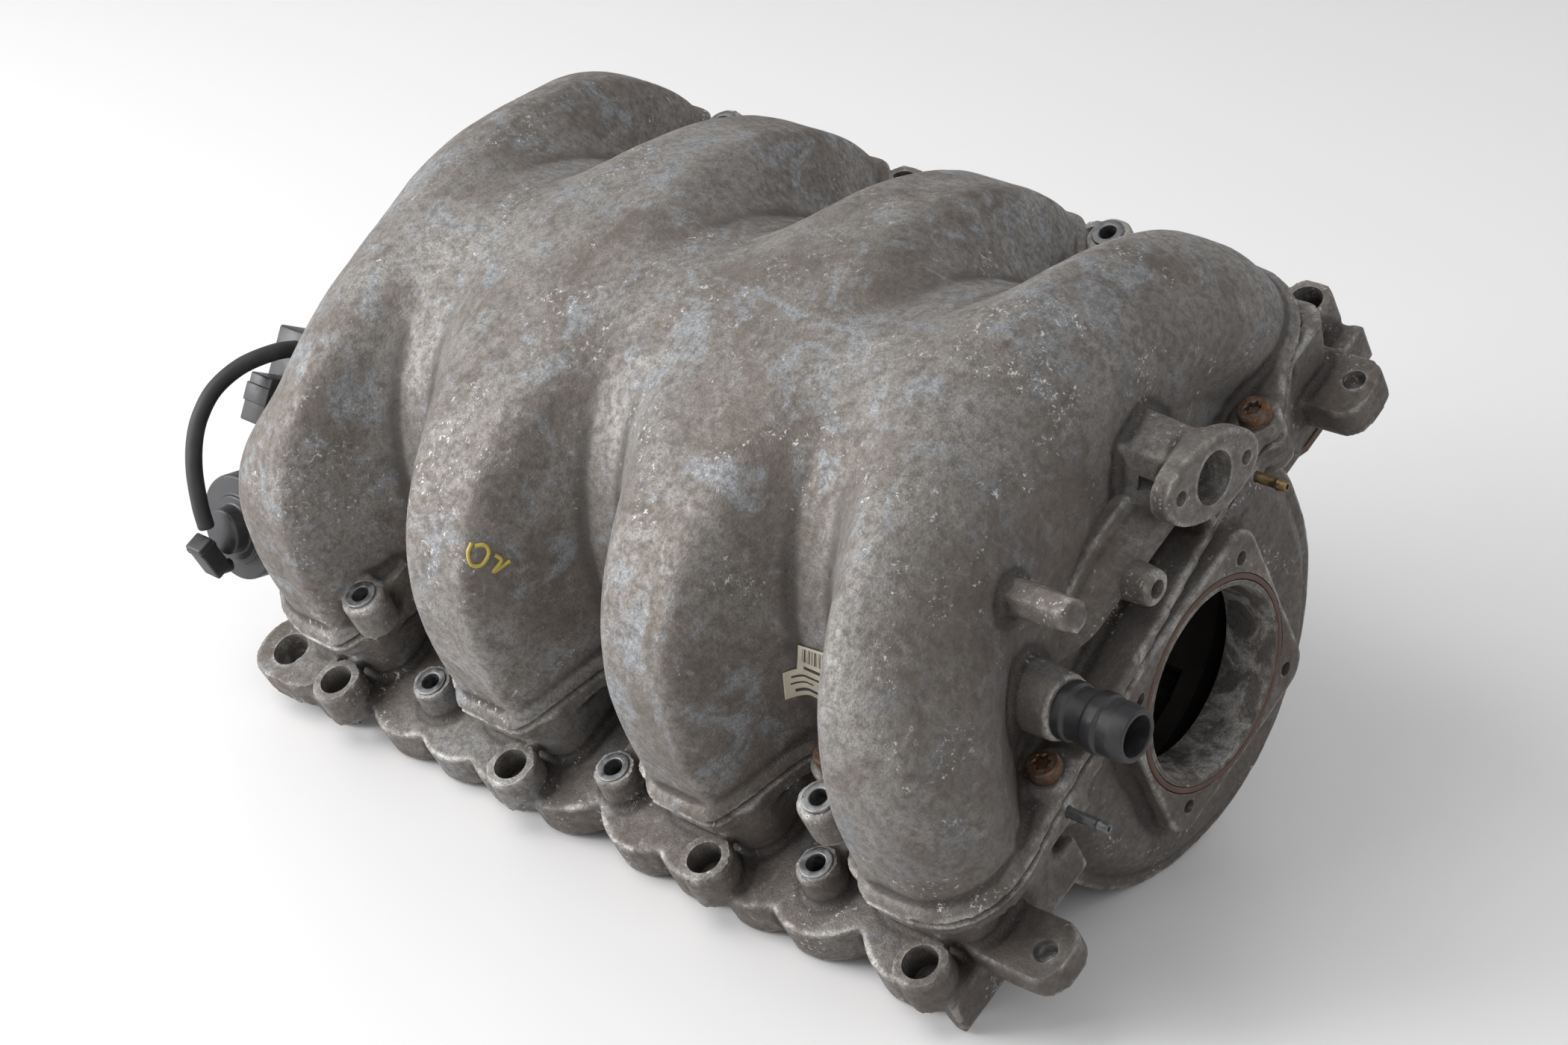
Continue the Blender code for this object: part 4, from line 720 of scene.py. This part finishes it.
def build_lower():
    bm = bmesh.new()
    add_plate(bm, seam_outline(0.0030), DECK_BOTTOM, SEAM_Z - 0.0006)
    add_plate(bm, seam_outline(0.0050), SEAM_Z - 0.0026, SEAM_Z - 0.0010)
    add_bar(bm, DRUM_RADIUS, (0, DRUM_FRONT, DRUM_Z), (0, DRUM_REAR, DRUM_Z), 160)
    add_bar(bm, DRUM_RADIUS - 0.003, (0, DRUM_FRONT + 0.002, DRUM_Z), (0, DRUM_FRONT - 0.007, DRUM_Z), 128,
            DRUM_RADIUS - 0.016)
    add_bar(bm, 0.050, (0, DRUM_FRONT, THROTTLE_Z), (0, THROTTLE_Y + 0.006, THROTTLE_Z), 96, 0.046)
    size = 2 * THROTTLE_BOLT + 0.022
    outline = rounded_rectangle((0.0, 0.0), size, size, 0.011, 0.0)
    add_rings(bm, [[Vector((x, y, THROTTLE_Z + z)) for x, z, _ in outline] for y in (THROTTLE_Y, THROTTLE_Y + 0.010)])
    for side in (-1, 1):
        add_plate(bm, flange_outline(side), FLANGE_BOTTOM, FLANGE_TOP)
    for _, foot, bolt in runner_feet():
        add_rings(bm, foot_rings(foot, (0.058, 0.060, 0.012), (0.050, 0.052, 0.014),
                                 (SEAM_Z - 0.0008, FLANGE_BOTTOM + 0.004)))
        add_bar(bm, BOSS_RADIUS, (*bolt, FLANGE_TOP - 0.004), (*bolt, 0.0), 64, 0.0110)
    for x, y in FLANGE_SLEEVES:
        add_bar(bm, 0.0092, (x, y, SLEEVE_BOTTOM), (x, y, 0.0), 64, 0.0088)
        add_box(bm, (0.026, 0.011, 0.011), (x - math.copysign(0.013, x), y, -0.0090))
    for x, y in SEAM_BOLTS:
        add_bar(bm, SEAM_BOSS_RADIUS, (x, y, DECK_BOTTOM - 0.006), (x, y, SEAM_Z - 0.0006))
    for x, z in BRACKET_BOLTS:
        add_bar(bm, 0.0090, (x, BRACKET_Y - 0.026, z), (x, BRACKET_Y - GAP, z), 48, 0.0075)
    for lug in LUGS:
        add_rings(bm, [[Vector(p) for p in rounded_rectangle(lug["centre"], *lug["size"], lug["radius"], z)]
                       for z in lug["levels"]])
    obj = to_object("visual_lower_casting", bm)
    cast(obj, VOXEL, 2)

    holes = bmesh.new()
    inner = DRUM_RADIUS - WALL
    bore = softened([(0.0, DRUM_FRONT + WALL), (0.0, DRUM_REAR - WALL), (inner, DRUM_REAR - WALL),
                     (inner, DRUM_FRONT + WALL)][::-1], 0.003)
    add_turned(holes, bore, (0, 0, DRUM_Z), (0, 1, 0), 128)
    carve(obj, holes)
    holes = bmesh.new()
    mouth = [(0.0, 0.030), (0.0, -0.010), (BORE_RADIUS + 0.0006, -0.010), (BORE_RADIUS + 0.0006, 0.0),
             (BORE_RADIUS, 0.0008), (BORE_RADIUS, 0.030)]
    add_turned(holes, mouth, (0, THROTTLE_Y, THROTTLE_Z), (0, 1, 0), 128)
    add_turned(holes, [(0.0410, -0.006), (0.0440, -0.006), (0.0440, 0.0025), (0.0410, 0.0025)],
               (0, THROTTLE_Y, THROTTLE_Z), (0, 1, 0), 128)
    for dx in (-1, 1):
        for dz in (-1, 1):
            x, z = dx * THROTTLE_BOLT, THROTTLE_Z + dz * THROTTLE_BOLT
            add_bar(holes, SCREW_HOLE, (x, THROTTLE_Y - PAST, z), (x, THROTTLE_Y + 0.008, z), 32)
    for _, foot, bolt in runner_feet():
        add_rings(holes, foot_rings(foot, (0.048, 0.050, 0.010), (PORT_WIDTH, PORT_LENGTH, 0.012),
                                    (SEAM_Z + 0.010, FLANGE_BOTTOM - 0.006)))
        add_turned(holes, [(0.0, -0.044), (0.0045, -0.044), (0.0045, -0.0140), (0.0068, -0.0128), (0.0072, 0.010),
                           (0.0, 0.010)], (*bolt, 0.0), (0, 0, 1), 48)
    for x, y in FLANGE_SLEEVES:
        add_bar(holes, SLEEVE_HOLE, (x, y, SLEEVE_BOTTOM - PAST), (x, y, PAST))
    for place in NIPPLES:
        face = nipple_face(place)
        add_bar(holes, NIPPLE_HOLE, face + Vector((0, 0.0125, 0)), face - Vector((0, PAST, 0)), 24)
    for lug in LUGS:
        x, y = lug["hole"]
        add_bar(holes, lug["hole_radius"], (x, y, -0.050), (x, y, 0.050))
    for x in (-SHAFT_X, SHAFT_X):
        add_bar(holes, 0.0062, (x, DRUM_REAR - 0.010, SHAFT_Z), (x, DRUM_REAR + PAST, SHAFT_Z), 32)
    add_box(holes, (0.5, 0.7, 2 * PAST), (0, 0, SEAM_Z + PAST))
    # bores whose walls get painted shade, darker with depth
    shaded_bores = [((*bolt, -0.001), (0, 0, -1), 0.0078) for _, _, bolt in runner_feet()]
    shaded_bores += [((x, y, 0.0), (0, 0, -1), SLEEVE_HOLE) for x, y in FLANGE_SLEEVES]
    shaded_bores += [((0, THROTTLE_Y + 0.004, THROTTLE_Z), (0, 1, 0), BORE_RADIUS + 0.0006)]
    shaded_bores += [((dx * THROTTLE_BOLT, THROTTLE_Y, THROTTLE_Z + dz * THROTTLE_BOLT), (0, 1, 0), SCREW_HOLE)
              for dx in (-1, 1) for dz in (-1, 1)]
    shaded_bores += [((*lug["hole"], lug["levels"][1]), (0, 0, -1), lug["hole_radius"]) for lug in LUGS]
    finish_casting(obj, holes, "lower_shell", shaded_bores)


# ---------------------------------------------------------------- small pieces
def place_piece(name, bm, material, nodes, body="housing", angle=35.0):
    obj = to_object(name, bm, material, angle)
    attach(obj, body)
    if nodes:
        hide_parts(*nodes)
    return obj


def turned_piece(node, profile, start, direction, material, sides, lobes=None):
    """A turned piece that stands for the node of that name."""
    bm = bmesh.new()
    add_turned(bm, profile, start, direction, sides, lobes)
    place_piece("visual_" + node, bm, material, [node])


def build_fasteners():
    # bolt heads with a six-lobed socket, then the ring sleeves
    profile = [(0.0, 0.0028), (0.0027, 0.0030), (0.0029, 0.0052), (0.0034, 0.0056), (0.0058, 0.0055), (0.0065, 0.0047),
               (0.0067, 0.0010), (0.0067, 0.0), (0.0029, 0.0), (0.0029, -0.014), (0.0, -0.014)]
    for number, (x, y) in enumerate(SEAM_BOLTS, start=1):
        turned_piece(f"seam_bolt_{number}", profile, (x, y, LEDGE_TOP + 0.0004 + GAP), (0, 0, 1), BOLT_STEEL,
                     72, {1: 0.0005, 2: 0.0005, 3: 0.0004})
    x, z = BRACKET_BOLTS[0]
    profile = [(0.0, 0.0016), (0.0022, 0.0018), (0.0024, 0.0038), (0.0050, 0.0040), (0.0055, 0.0032), (0.0055, 0.0),
               (0.0029, 0.0), (0.0029, -0.012), (0.0, -0.012)]
    turned_piece("bracket_bolt", profile, (x, BRACKET_Y + 0.0026, z), (0, 1, 0), BOLT_STEEL, 72,
                 {1: 0.0004, 2: 0.0004})
    for kind, places, low, high, outer, inner in (
        ("flange_sleeve", FLANGE_SLEEVES, SLEEVE_BOTTOM + 0.0002, 0.0007, 0.0068, 0.0038),
        ("tab_sleeve", TAB_SLEEVES, SEAM_Z + 0.006, TAB_TOP + 0.0012, 0.0067, 0.0036),
    ):
        ring = softened([(outer, 0.0), (outer, high - low), (inner, high - low), (inner, 0.0)], 0.0006)
        for number, (x, y) in enumerate(places, start=1):
            turned_piece(f"{kind}_{number}", ring, (x, y, low), (0, 0, 1), SLEEVE_STEEL, 64)


def build_front():
    seal = softened([(0.0413, 0.0022), (0.0437, 0.0022), (0.0437, -0.0004), (0.0413, -0.0004)], 0.0008)
    turned_piece("throttle_seal", seal, (0, THROTTLE_Y, THROTTLE_Z), (0, 1, 0), SEAL, 160)

    nozzle = [(0.0079, 0.0), (0.0079, 0.0250), (0.0072, 0.0250), (0.0078, -0.0300), (0.0098, -0.0300),
              (0.0109, -0.0240), (0.0106, -0.0190), (0.0116, -0.0180), (0.0116, -0.0130), (0.0100, -0.0120),
              (0.0100, -0.0050), (0.0112, -0.0040), (0.0112, 0.0)]
    turned_piece("breather_nozzle", softened(nozzle, 0.0006), (NOZZLE_X, NOZZLE_SEAT - GAP, NOZZLE_Z), (0, 1, 0),
                 PLASTIC, 80)

    for name, place, length, material, slot in (
        ("vacuum_nipple_upper", NIPPLES[0], 0.014, BRASS, "brass"),
        ("vacuum_nipple_lower", NIPPLES[1], 0.018, SLEEVE_STEEL, "sleeve_steel"),
    ):
        profile = [(0.0, 0.012), (0.0021, 0.012), (0.0021, -length + 0.005), (0.0026, -length + 0.004),
                   (0.0018, -length), (0.0010, -length), (0.0010, -length + 0.004), (0.0, -length + 0.004)]
        turned_piece(name, softened(profile, 0.0003), nipple_face(place), (0, 1, 0), material, 40)


def build_rear():
    outward = -ROD_DIRECTION
    base = [(0.0034, 0.0), (0.0235, 0.0), (0.0235, 0.0170), (0.0260, 0.0170), (0.0260, 0.0193), (0.0210, 0.0193),
            (0.0210, 0.0020), (0.0034, 0.0020)]
    turned_piece("actuator_base", softened(base, 0.0008), CAN_END, outward, PLASTIC, 96)
    cover = [(0.0210, 0.0196), (0.0260, 0.0196), (0.0260, 0.0220), (0.0235, 0.0220), (0.0232, 0.0400),
             (0.0148, 0.0400), (0.0142, 0.0413), (0.0104, 0.0413), (0.0100, 0.0480), (0.0, 0.0480), (0.0, 0.0380),
             (0.0210, 0.0380)]
    turned_piece("actuator_cover", softened(cover, 0.0012), CAN_END, outward, PLASTIC, 96)

    up = Vector((0.81, 0.0, 0.59)).normalized()
    side = Vector((0.59, 0.0, -0.81)).normalized()
    centre = Vector((-0.0548, 0.2320, 0.0555))
    turn = Matrix((side, Vector((0, 1, 0)), up)).transposed().to_4x4()

    def at(along, y, height):
        return centre + along * side + Vector((0, y, 0)) + height * up

    bm = bmesh.new()
    add_box(bm, (0.026, 0.022, 0.026), centre, turn, 0.0012)
    add_box(bm, (0.0255, 0.018, 0.003), at(0.0, 0.0, -0.0125), turn, 0.0006)
    add_box(bm, (0.0200, 0.0006, 0.0200), at(0.0, 0.0111, 0.0), turn, 0.0002)
    place_piece("visual_solenoid_valve", bm, PLASTIC, ["solenoid_valve"])
    low = -0.013 - 0.0012 - GAP
    cap = softened([(0.0, 0.0), (0.0080, 0.0), (0.0076, 0.0147), (0.0, 0.0147)], 0.0010)
    turned_piece("coil_cap", cap, at(0.006, 0.0, low), -up, PLASTIC, 64)
    bm = bmesh.new()
    add_box(bm, (0.014, 0.014, 0.021), at(-0.0205, -0.002, -0.0185), turn, 0.0008)
    add_box(bm, (0.012, 0.012, 0.007), at(-0.0095, -0.002, low - 0.0037), turn, 0.0006)
    add_box(bm, (0.0040, 0.0150, 0.0080), at(-0.0262, -0.002, -0.0165), turn, 0.0006)
    plug = to_object("visual_valve_connector", bm, PLASTIC)
    holes = bmesh.new()
    add_box(holes, (0.011, 0.011, 0.014), at(-0.0205, -0.002, -0.0270), turn, 0.0008)
    carve(plug, holes)
    plug.data.shade_smooth()
    plug.data.set_sharp_from_angle(angle=math.radians(35))
    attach(plug, "housing")
    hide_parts("valve_connector")

    bm = bmesh.new()
    add_box(bm, (0.0085, 0.0100, 0.0190), (-0.1458, 0.2275, 0.0310), bevel=0.0010)
    start = Vector((-0.1448, 0.2275, 0.0215))
    add_bar(bm, 0.0030, start, start + 0.0050 * ROD_DIRECTION, 32)
    add_box(bm, (0.0092, 0.0106, 0.0030), (-0.1458, 0.2275, 0.0372), bevel=0.0008)
    place_piece("visual_hose_elbow", bm, PLASTIC, ["hose_elbow"])

    route = [(-0.0585, 0.2260, 0.0710), (-0.0672, 0.2285, 0.0772), (-0.0810, 0.2335, 0.0815), (-0.0955, 0.2360, 0.0820),
             (-0.1075, 0.2360, 0.0785), (-0.1170, 0.2352, 0.0723), (-0.1262, 0.2330, 0.0630), (-0.1342, 0.2302, 0.0508),
             (-0.1388, 0.2280, 0.0416)]
    bm = bmesh.new()
    add_hose(bm, smooth_route(route, 12), 0.00365, 0.0020)
    place_piece("visual_vacuum_hose", bm, RUBBER, ["vacuum_hose"])


def smooth_route(points, per_span):
    points = [Vector(p) for p in points]
    padded = [2 * points[0] - points[1], *points, 2 * points[-1] - points[-2]]
    route = []
    for a, b, c, d in zip(padded, padded[1:], padded[2:], padded[3:]):
        for step in range(per_span):
            t = step / per_span
            route.append(0.5 * (2 * b + (c - a) * t + (2 * a - 5 * b + 4 * c - d) * t**2
                                + (3 * b - a - 3 * c + d) * t**3))
    route.append(points[-1])
    return route


def add_hose(bm, route, radius, bore, sides=32):
    """A tube with open-looking ends: the skin turns in at each end and closes a little way down the bore."""
    frames = []
    normal = Vector((0, 1, 0))
    for i, point in enumerate(route):
        along = (route[min(i + 1, len(route) - 1)] - route[max(i - 1, 0)]).normalized()
        normal = (normal - normal.dot(along) * along).normalized()
        frames.append((point, normal.copy(), along.cross(normal)))

    def ring(index, r, shift=0.0):
        point, across, up = frames[index]
        along = up.cross(across) * -1
        return [point + along * shift + r * (math.cos(a) * across + math.sin(a) * up)
                for a in (2 * math.pi * k / sides for k in range(sides))]

    rings = [ring(2, bore), ring(0, bore), ring(0, radius - 0.0004)]
    rings += [ring(i, radius) for i in range(1, len(route) - 1)]
    rings += [ring(len(route) - 1, radius - 0.0004), ring(len(route) - 1, bore), ring(len(route) - 3, bore)]
    add_rings(bm, rings)


def build_linkage():
    """The CAD's own levers, link, rod and bracket with their edges broken."""
    for body, names in (("near_flaps", ["lever_near", "flap_shaft_near"]),
                        ("far_flaps", ["lever_far", "flap_shaft_far"]),
                        ("link", ["coupling_link"]), ("rod", ["actuator_rod"]), ("housing", ["actuator_bracket"])):
        for name in names:
            node = NODES[name]
            bm = bmesh.new()
            bm.from_mesh(node.data)
            bmesh.ops.remove_doubles(bm, verts=bm.verts, dist=2e-6)
            bmesh.ops.dissolve_limit(bm, angle_limit=math.radians(1.0), verts=bm.verts, edges=bm.edges)
            mesh = bpy.data.meshes.new("visual_" + name)
            bm.to_mesh(mesh)
            bm.free()
            mesh.materials.clear()
            mesh.materials.append(SHAFT_STEEL)
            obj = bpy.data.objects.new("visual_" + name, mesh)
            bpy.context.scene.collection.objects.link(obj)
            obj.matrix_world = node.matrix_world.copy()
            bevel = obj.modifiers.new("broken_edges", "BEVEL")
            bevel.width = 0.0003
            bevel.segments = 2
            bevel.limit_method = "ANGLE"
            bevel.angle_limit = math.radians(40)
            mesh.shade_smooth()
            mesh.set_sharp_from_angle(angle=math.radians(40))
            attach(obj, body)
            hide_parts(name)


# ---------------------------------------------------------------- label and marker on the skin
def skin_mark(turn, s, lift):
    """A point a little proud of the near flank of the arch."""
    def place(_turn):
        return s, s, 1.0

    here = skin_point(turn, place)
    along = skin_point(turn, lambda _turn: (s + 0.0005, s + 0.0005, 1.0)) - here
    up = skin_point(turn + 0.004, place) - here
    normal = along.cross(up).normalized()
    return here + (lift if normal.x < 0 else -lift) * normal


def build_label(name, corners, lift, upright, rules):
    """A paper sticker between four (turn, s) corners, with generic upright bars and ruled lines."""
    rows, columns = 60, 72
    low_left, low_right, top_left, top_right = (np.array(corner) for corner in corners)
    bm = bmesh.new()
    verts = []
    for i in range(columns + 1):
        u = i / columns
        low, top = low_left + (low_right - low_left) * u, top_left + (top_right - top_left) * u
        verts.append([bm.verts.new(skin_mark(*(low + (top - low) * j / rows), lift)) for j in range(rows + 1)])
    stripe = (1, 0, 1, 1, 0, 0, 1, 0, 1, 0, 0, 1, 1, 1, 0, 1, 0, 0)
    for i in range(columns):
        for j in range(rows):
            face = bm.faces.new((verts[i][j], verts[i + 1][j], verts[i + 1][j + 1], verts[i][j + 1]))
            u, v = i / columns, j / rows
            barred = any(a <= u <= b and c <= v <= d and stripe[i % len(stripe)] for a, b, c, d in upright)
            ruled = any(a <= u <= b and c <= v <= d for a, b, c, d in rules)
            face.material_index = 1 if barred or ruled else 0
    obj = to_object(name, bm, PAPER)
    obj.data.materials.append(INK)
    thick = obj.modifiers.new("paper", "SOLIDIFY")
    thick.thickness = 0.00012
    thick.offset = 0.0
    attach(obj, "housing")


def build_marks():
    build_label("visual_label_lower", ((0.209, -0.0700), (0.180, -0.0930), (0.315, -0.0712), (0.319, -0.0942)), 0.00050,
                [], [(0.08, 0.60, 0.70, 0.78), (0.06, 0.44, 0.46, 0.53), (0.10, 0.64, 0.16, 0.28)])
    build_label("visual_label_upper", ((0.300, -0.0745), (0.290, -0.0950), (0.419, -0.0780), (0.437, -0.0985)), 0.00075,
                [(0.10, 0.80, 0.42, 0.90)], [(0.14, 0.72, 0.16, 0.28)])
    # two loose marker strokes on one runner
    bm = bmesh.new()
    for stroke in (
        [(0.690, 0.0548), (0.650, 0.0556), (0.600, 0.0545), (0.585, 0.0520), (0.620, 0.0505), (0.660, 0.0515),
         (0.672, 0.0538)],
        [(0.600, 0.0492), (0.565, 0.0480), (0.535, 0.0497), (0.545, 0.0465)],
    ):
        path = smooth_route([skin_mark(turn, s, 0.0002) for turn, s in stroke], 8)
        for a, b in zip(path, path[1:]):
            add_bar(bm, 0.00080, a, b + (b - a) * 0.3, 8)  # the pieces overlap, so a bend leaves no gap
    place_piece("visual_marker_stroke", bm, PAINT, [])


# ---------------------------------------------------------------- stage, camera and light
def build_stage():
    """A pale floor that bends up into a wall behind the part, a little under it so that the two don't meet."""
    bm = bmesh.new()
    bend_at, bend = 1.6, 0.8
    sweep = [(-3.0, 0.0), (bend_at, 0.0)]
    sweep += [(bend_at + bend * math.sin(a), bend - bend * math.cos(a))
              for a in (math.pi / 2 * i / 12 for i in range(1, 13))]
    sweep += [(2.4, 3.2)]
    rows = [[bm.verts.new((x, y, z)) for x in (-4.5, 4.5)] for y, z in sweep]
    for first, second in zip(rows, rows[1:]):
        bm.faces.new((first[0], first[1], second[1], second[0]))
    floor = to_object("studio_floor", bm, floor_material(), 60)
    floor.matrix_world = Matrix.Translation((0, 0, -0.0003)) @ Matrix.Rotation(math.radians(-30), 4, "Z")


def area_light(name, place, target, size, power, colour=(1.0, 1.0, 1.0)):
    light = bpy.data.lights.new(name, "AREA")
    light.shape = "RECTANGLE"
    light.size, light.size_y = size
    light.energy = power
    light.color = colour
    obj = bpy.data.objects.new(name, light)
    bpy.context.scene.collection.objects.link(obj)
    obj.location = place
    obj.rotation_euler = (Vector(target) - Vector(place)).to_track_quat("-Z", "Y").to_euler()


def build_camera():
    camera = bpy.data.cameras.new("photo_view")
    camera.sensor_width = 36.0
    camera.lens = 72.95
    camera.clip_start = 0.02
    obj = bpy.data.objects.new("photo_view", camera)
    bpy.context.scene.collection.objects.link(obj)
    right, up, back = Vector((0.580, -0.737, -0.346)), Vector((0.732, 0.285, 0.619)), Vector((-0.358, -0.613, 0.705))
    pose = Matrix((right, up, back)).transposed().to_4x4()
    pose.translation = Vector((-0.4770, -0.7756, 0.9066))
    obj.matrix_world = ENGINE @ pose
    bpy.context.scene.camera = obj


def build_lights():
    world = bpy.data.worlds.new("studio")
    world.use_nodes = True
    world.node_tree.nodes["Background"].inputs["Color"].default_value = (0.95, 0.97, 1.0, 1.0)
    world.node_tree.nodes["Background"].inputs["Strength"].default_value = 0.55
    bpy.context.scene.world = world
    area_light("key", (-0.9, 0.7, 1.9), (0, 0, 0.1), (1.6, 1.2), 19.0, (1.0, 0.99, 0.97))
    area_light("left", (-1.5, 1.35, 0.75), (0, 0, 0.1), (1.4, 1.0), 52.0, (0.97, 0.98, 1.0))
    area_light("front", (-1.3, -1.6, 1.2), (0, 0, 0.1), (1.2, 1.2), 6.0)
    area_light("right", (1.7, -0.9, 1.3), (0, 0, 0.1), (1.0, 1.4), 4.0)
    bpy.context.scene.view_settings.view_transform = "Standard"


def main():
    parts = {entry["node"]: entry["material_slot"] for entry in frame["record"]["subparts"]}
    for name, node in NODES.items():
        slot = node.data.materials[0].name.split(".")[0] if node.data.materials else ""
        looks = [SLOT_LOOKS[key] for key in SLOT_LOOKS if slot.endswith(key)]
        material = looks[0] if looks else SLOT_LOOKS[parts[name]]
        # the pieces inside the drum get the near-black painted shade
        if name.startswith(("plenum_tube", "flap_near", "flap_far")):
            material = INSIDE_SHADE_PAINT
        node.data.materials.clear()
        node.data.materials.append(material)
    build_camera()
    build_stage()
    build_lights()
    build_upper()
    build_lower()
    build_fasteners()
    build_front()
    build_rear()
    build_linkage()
    build_marks()


main()
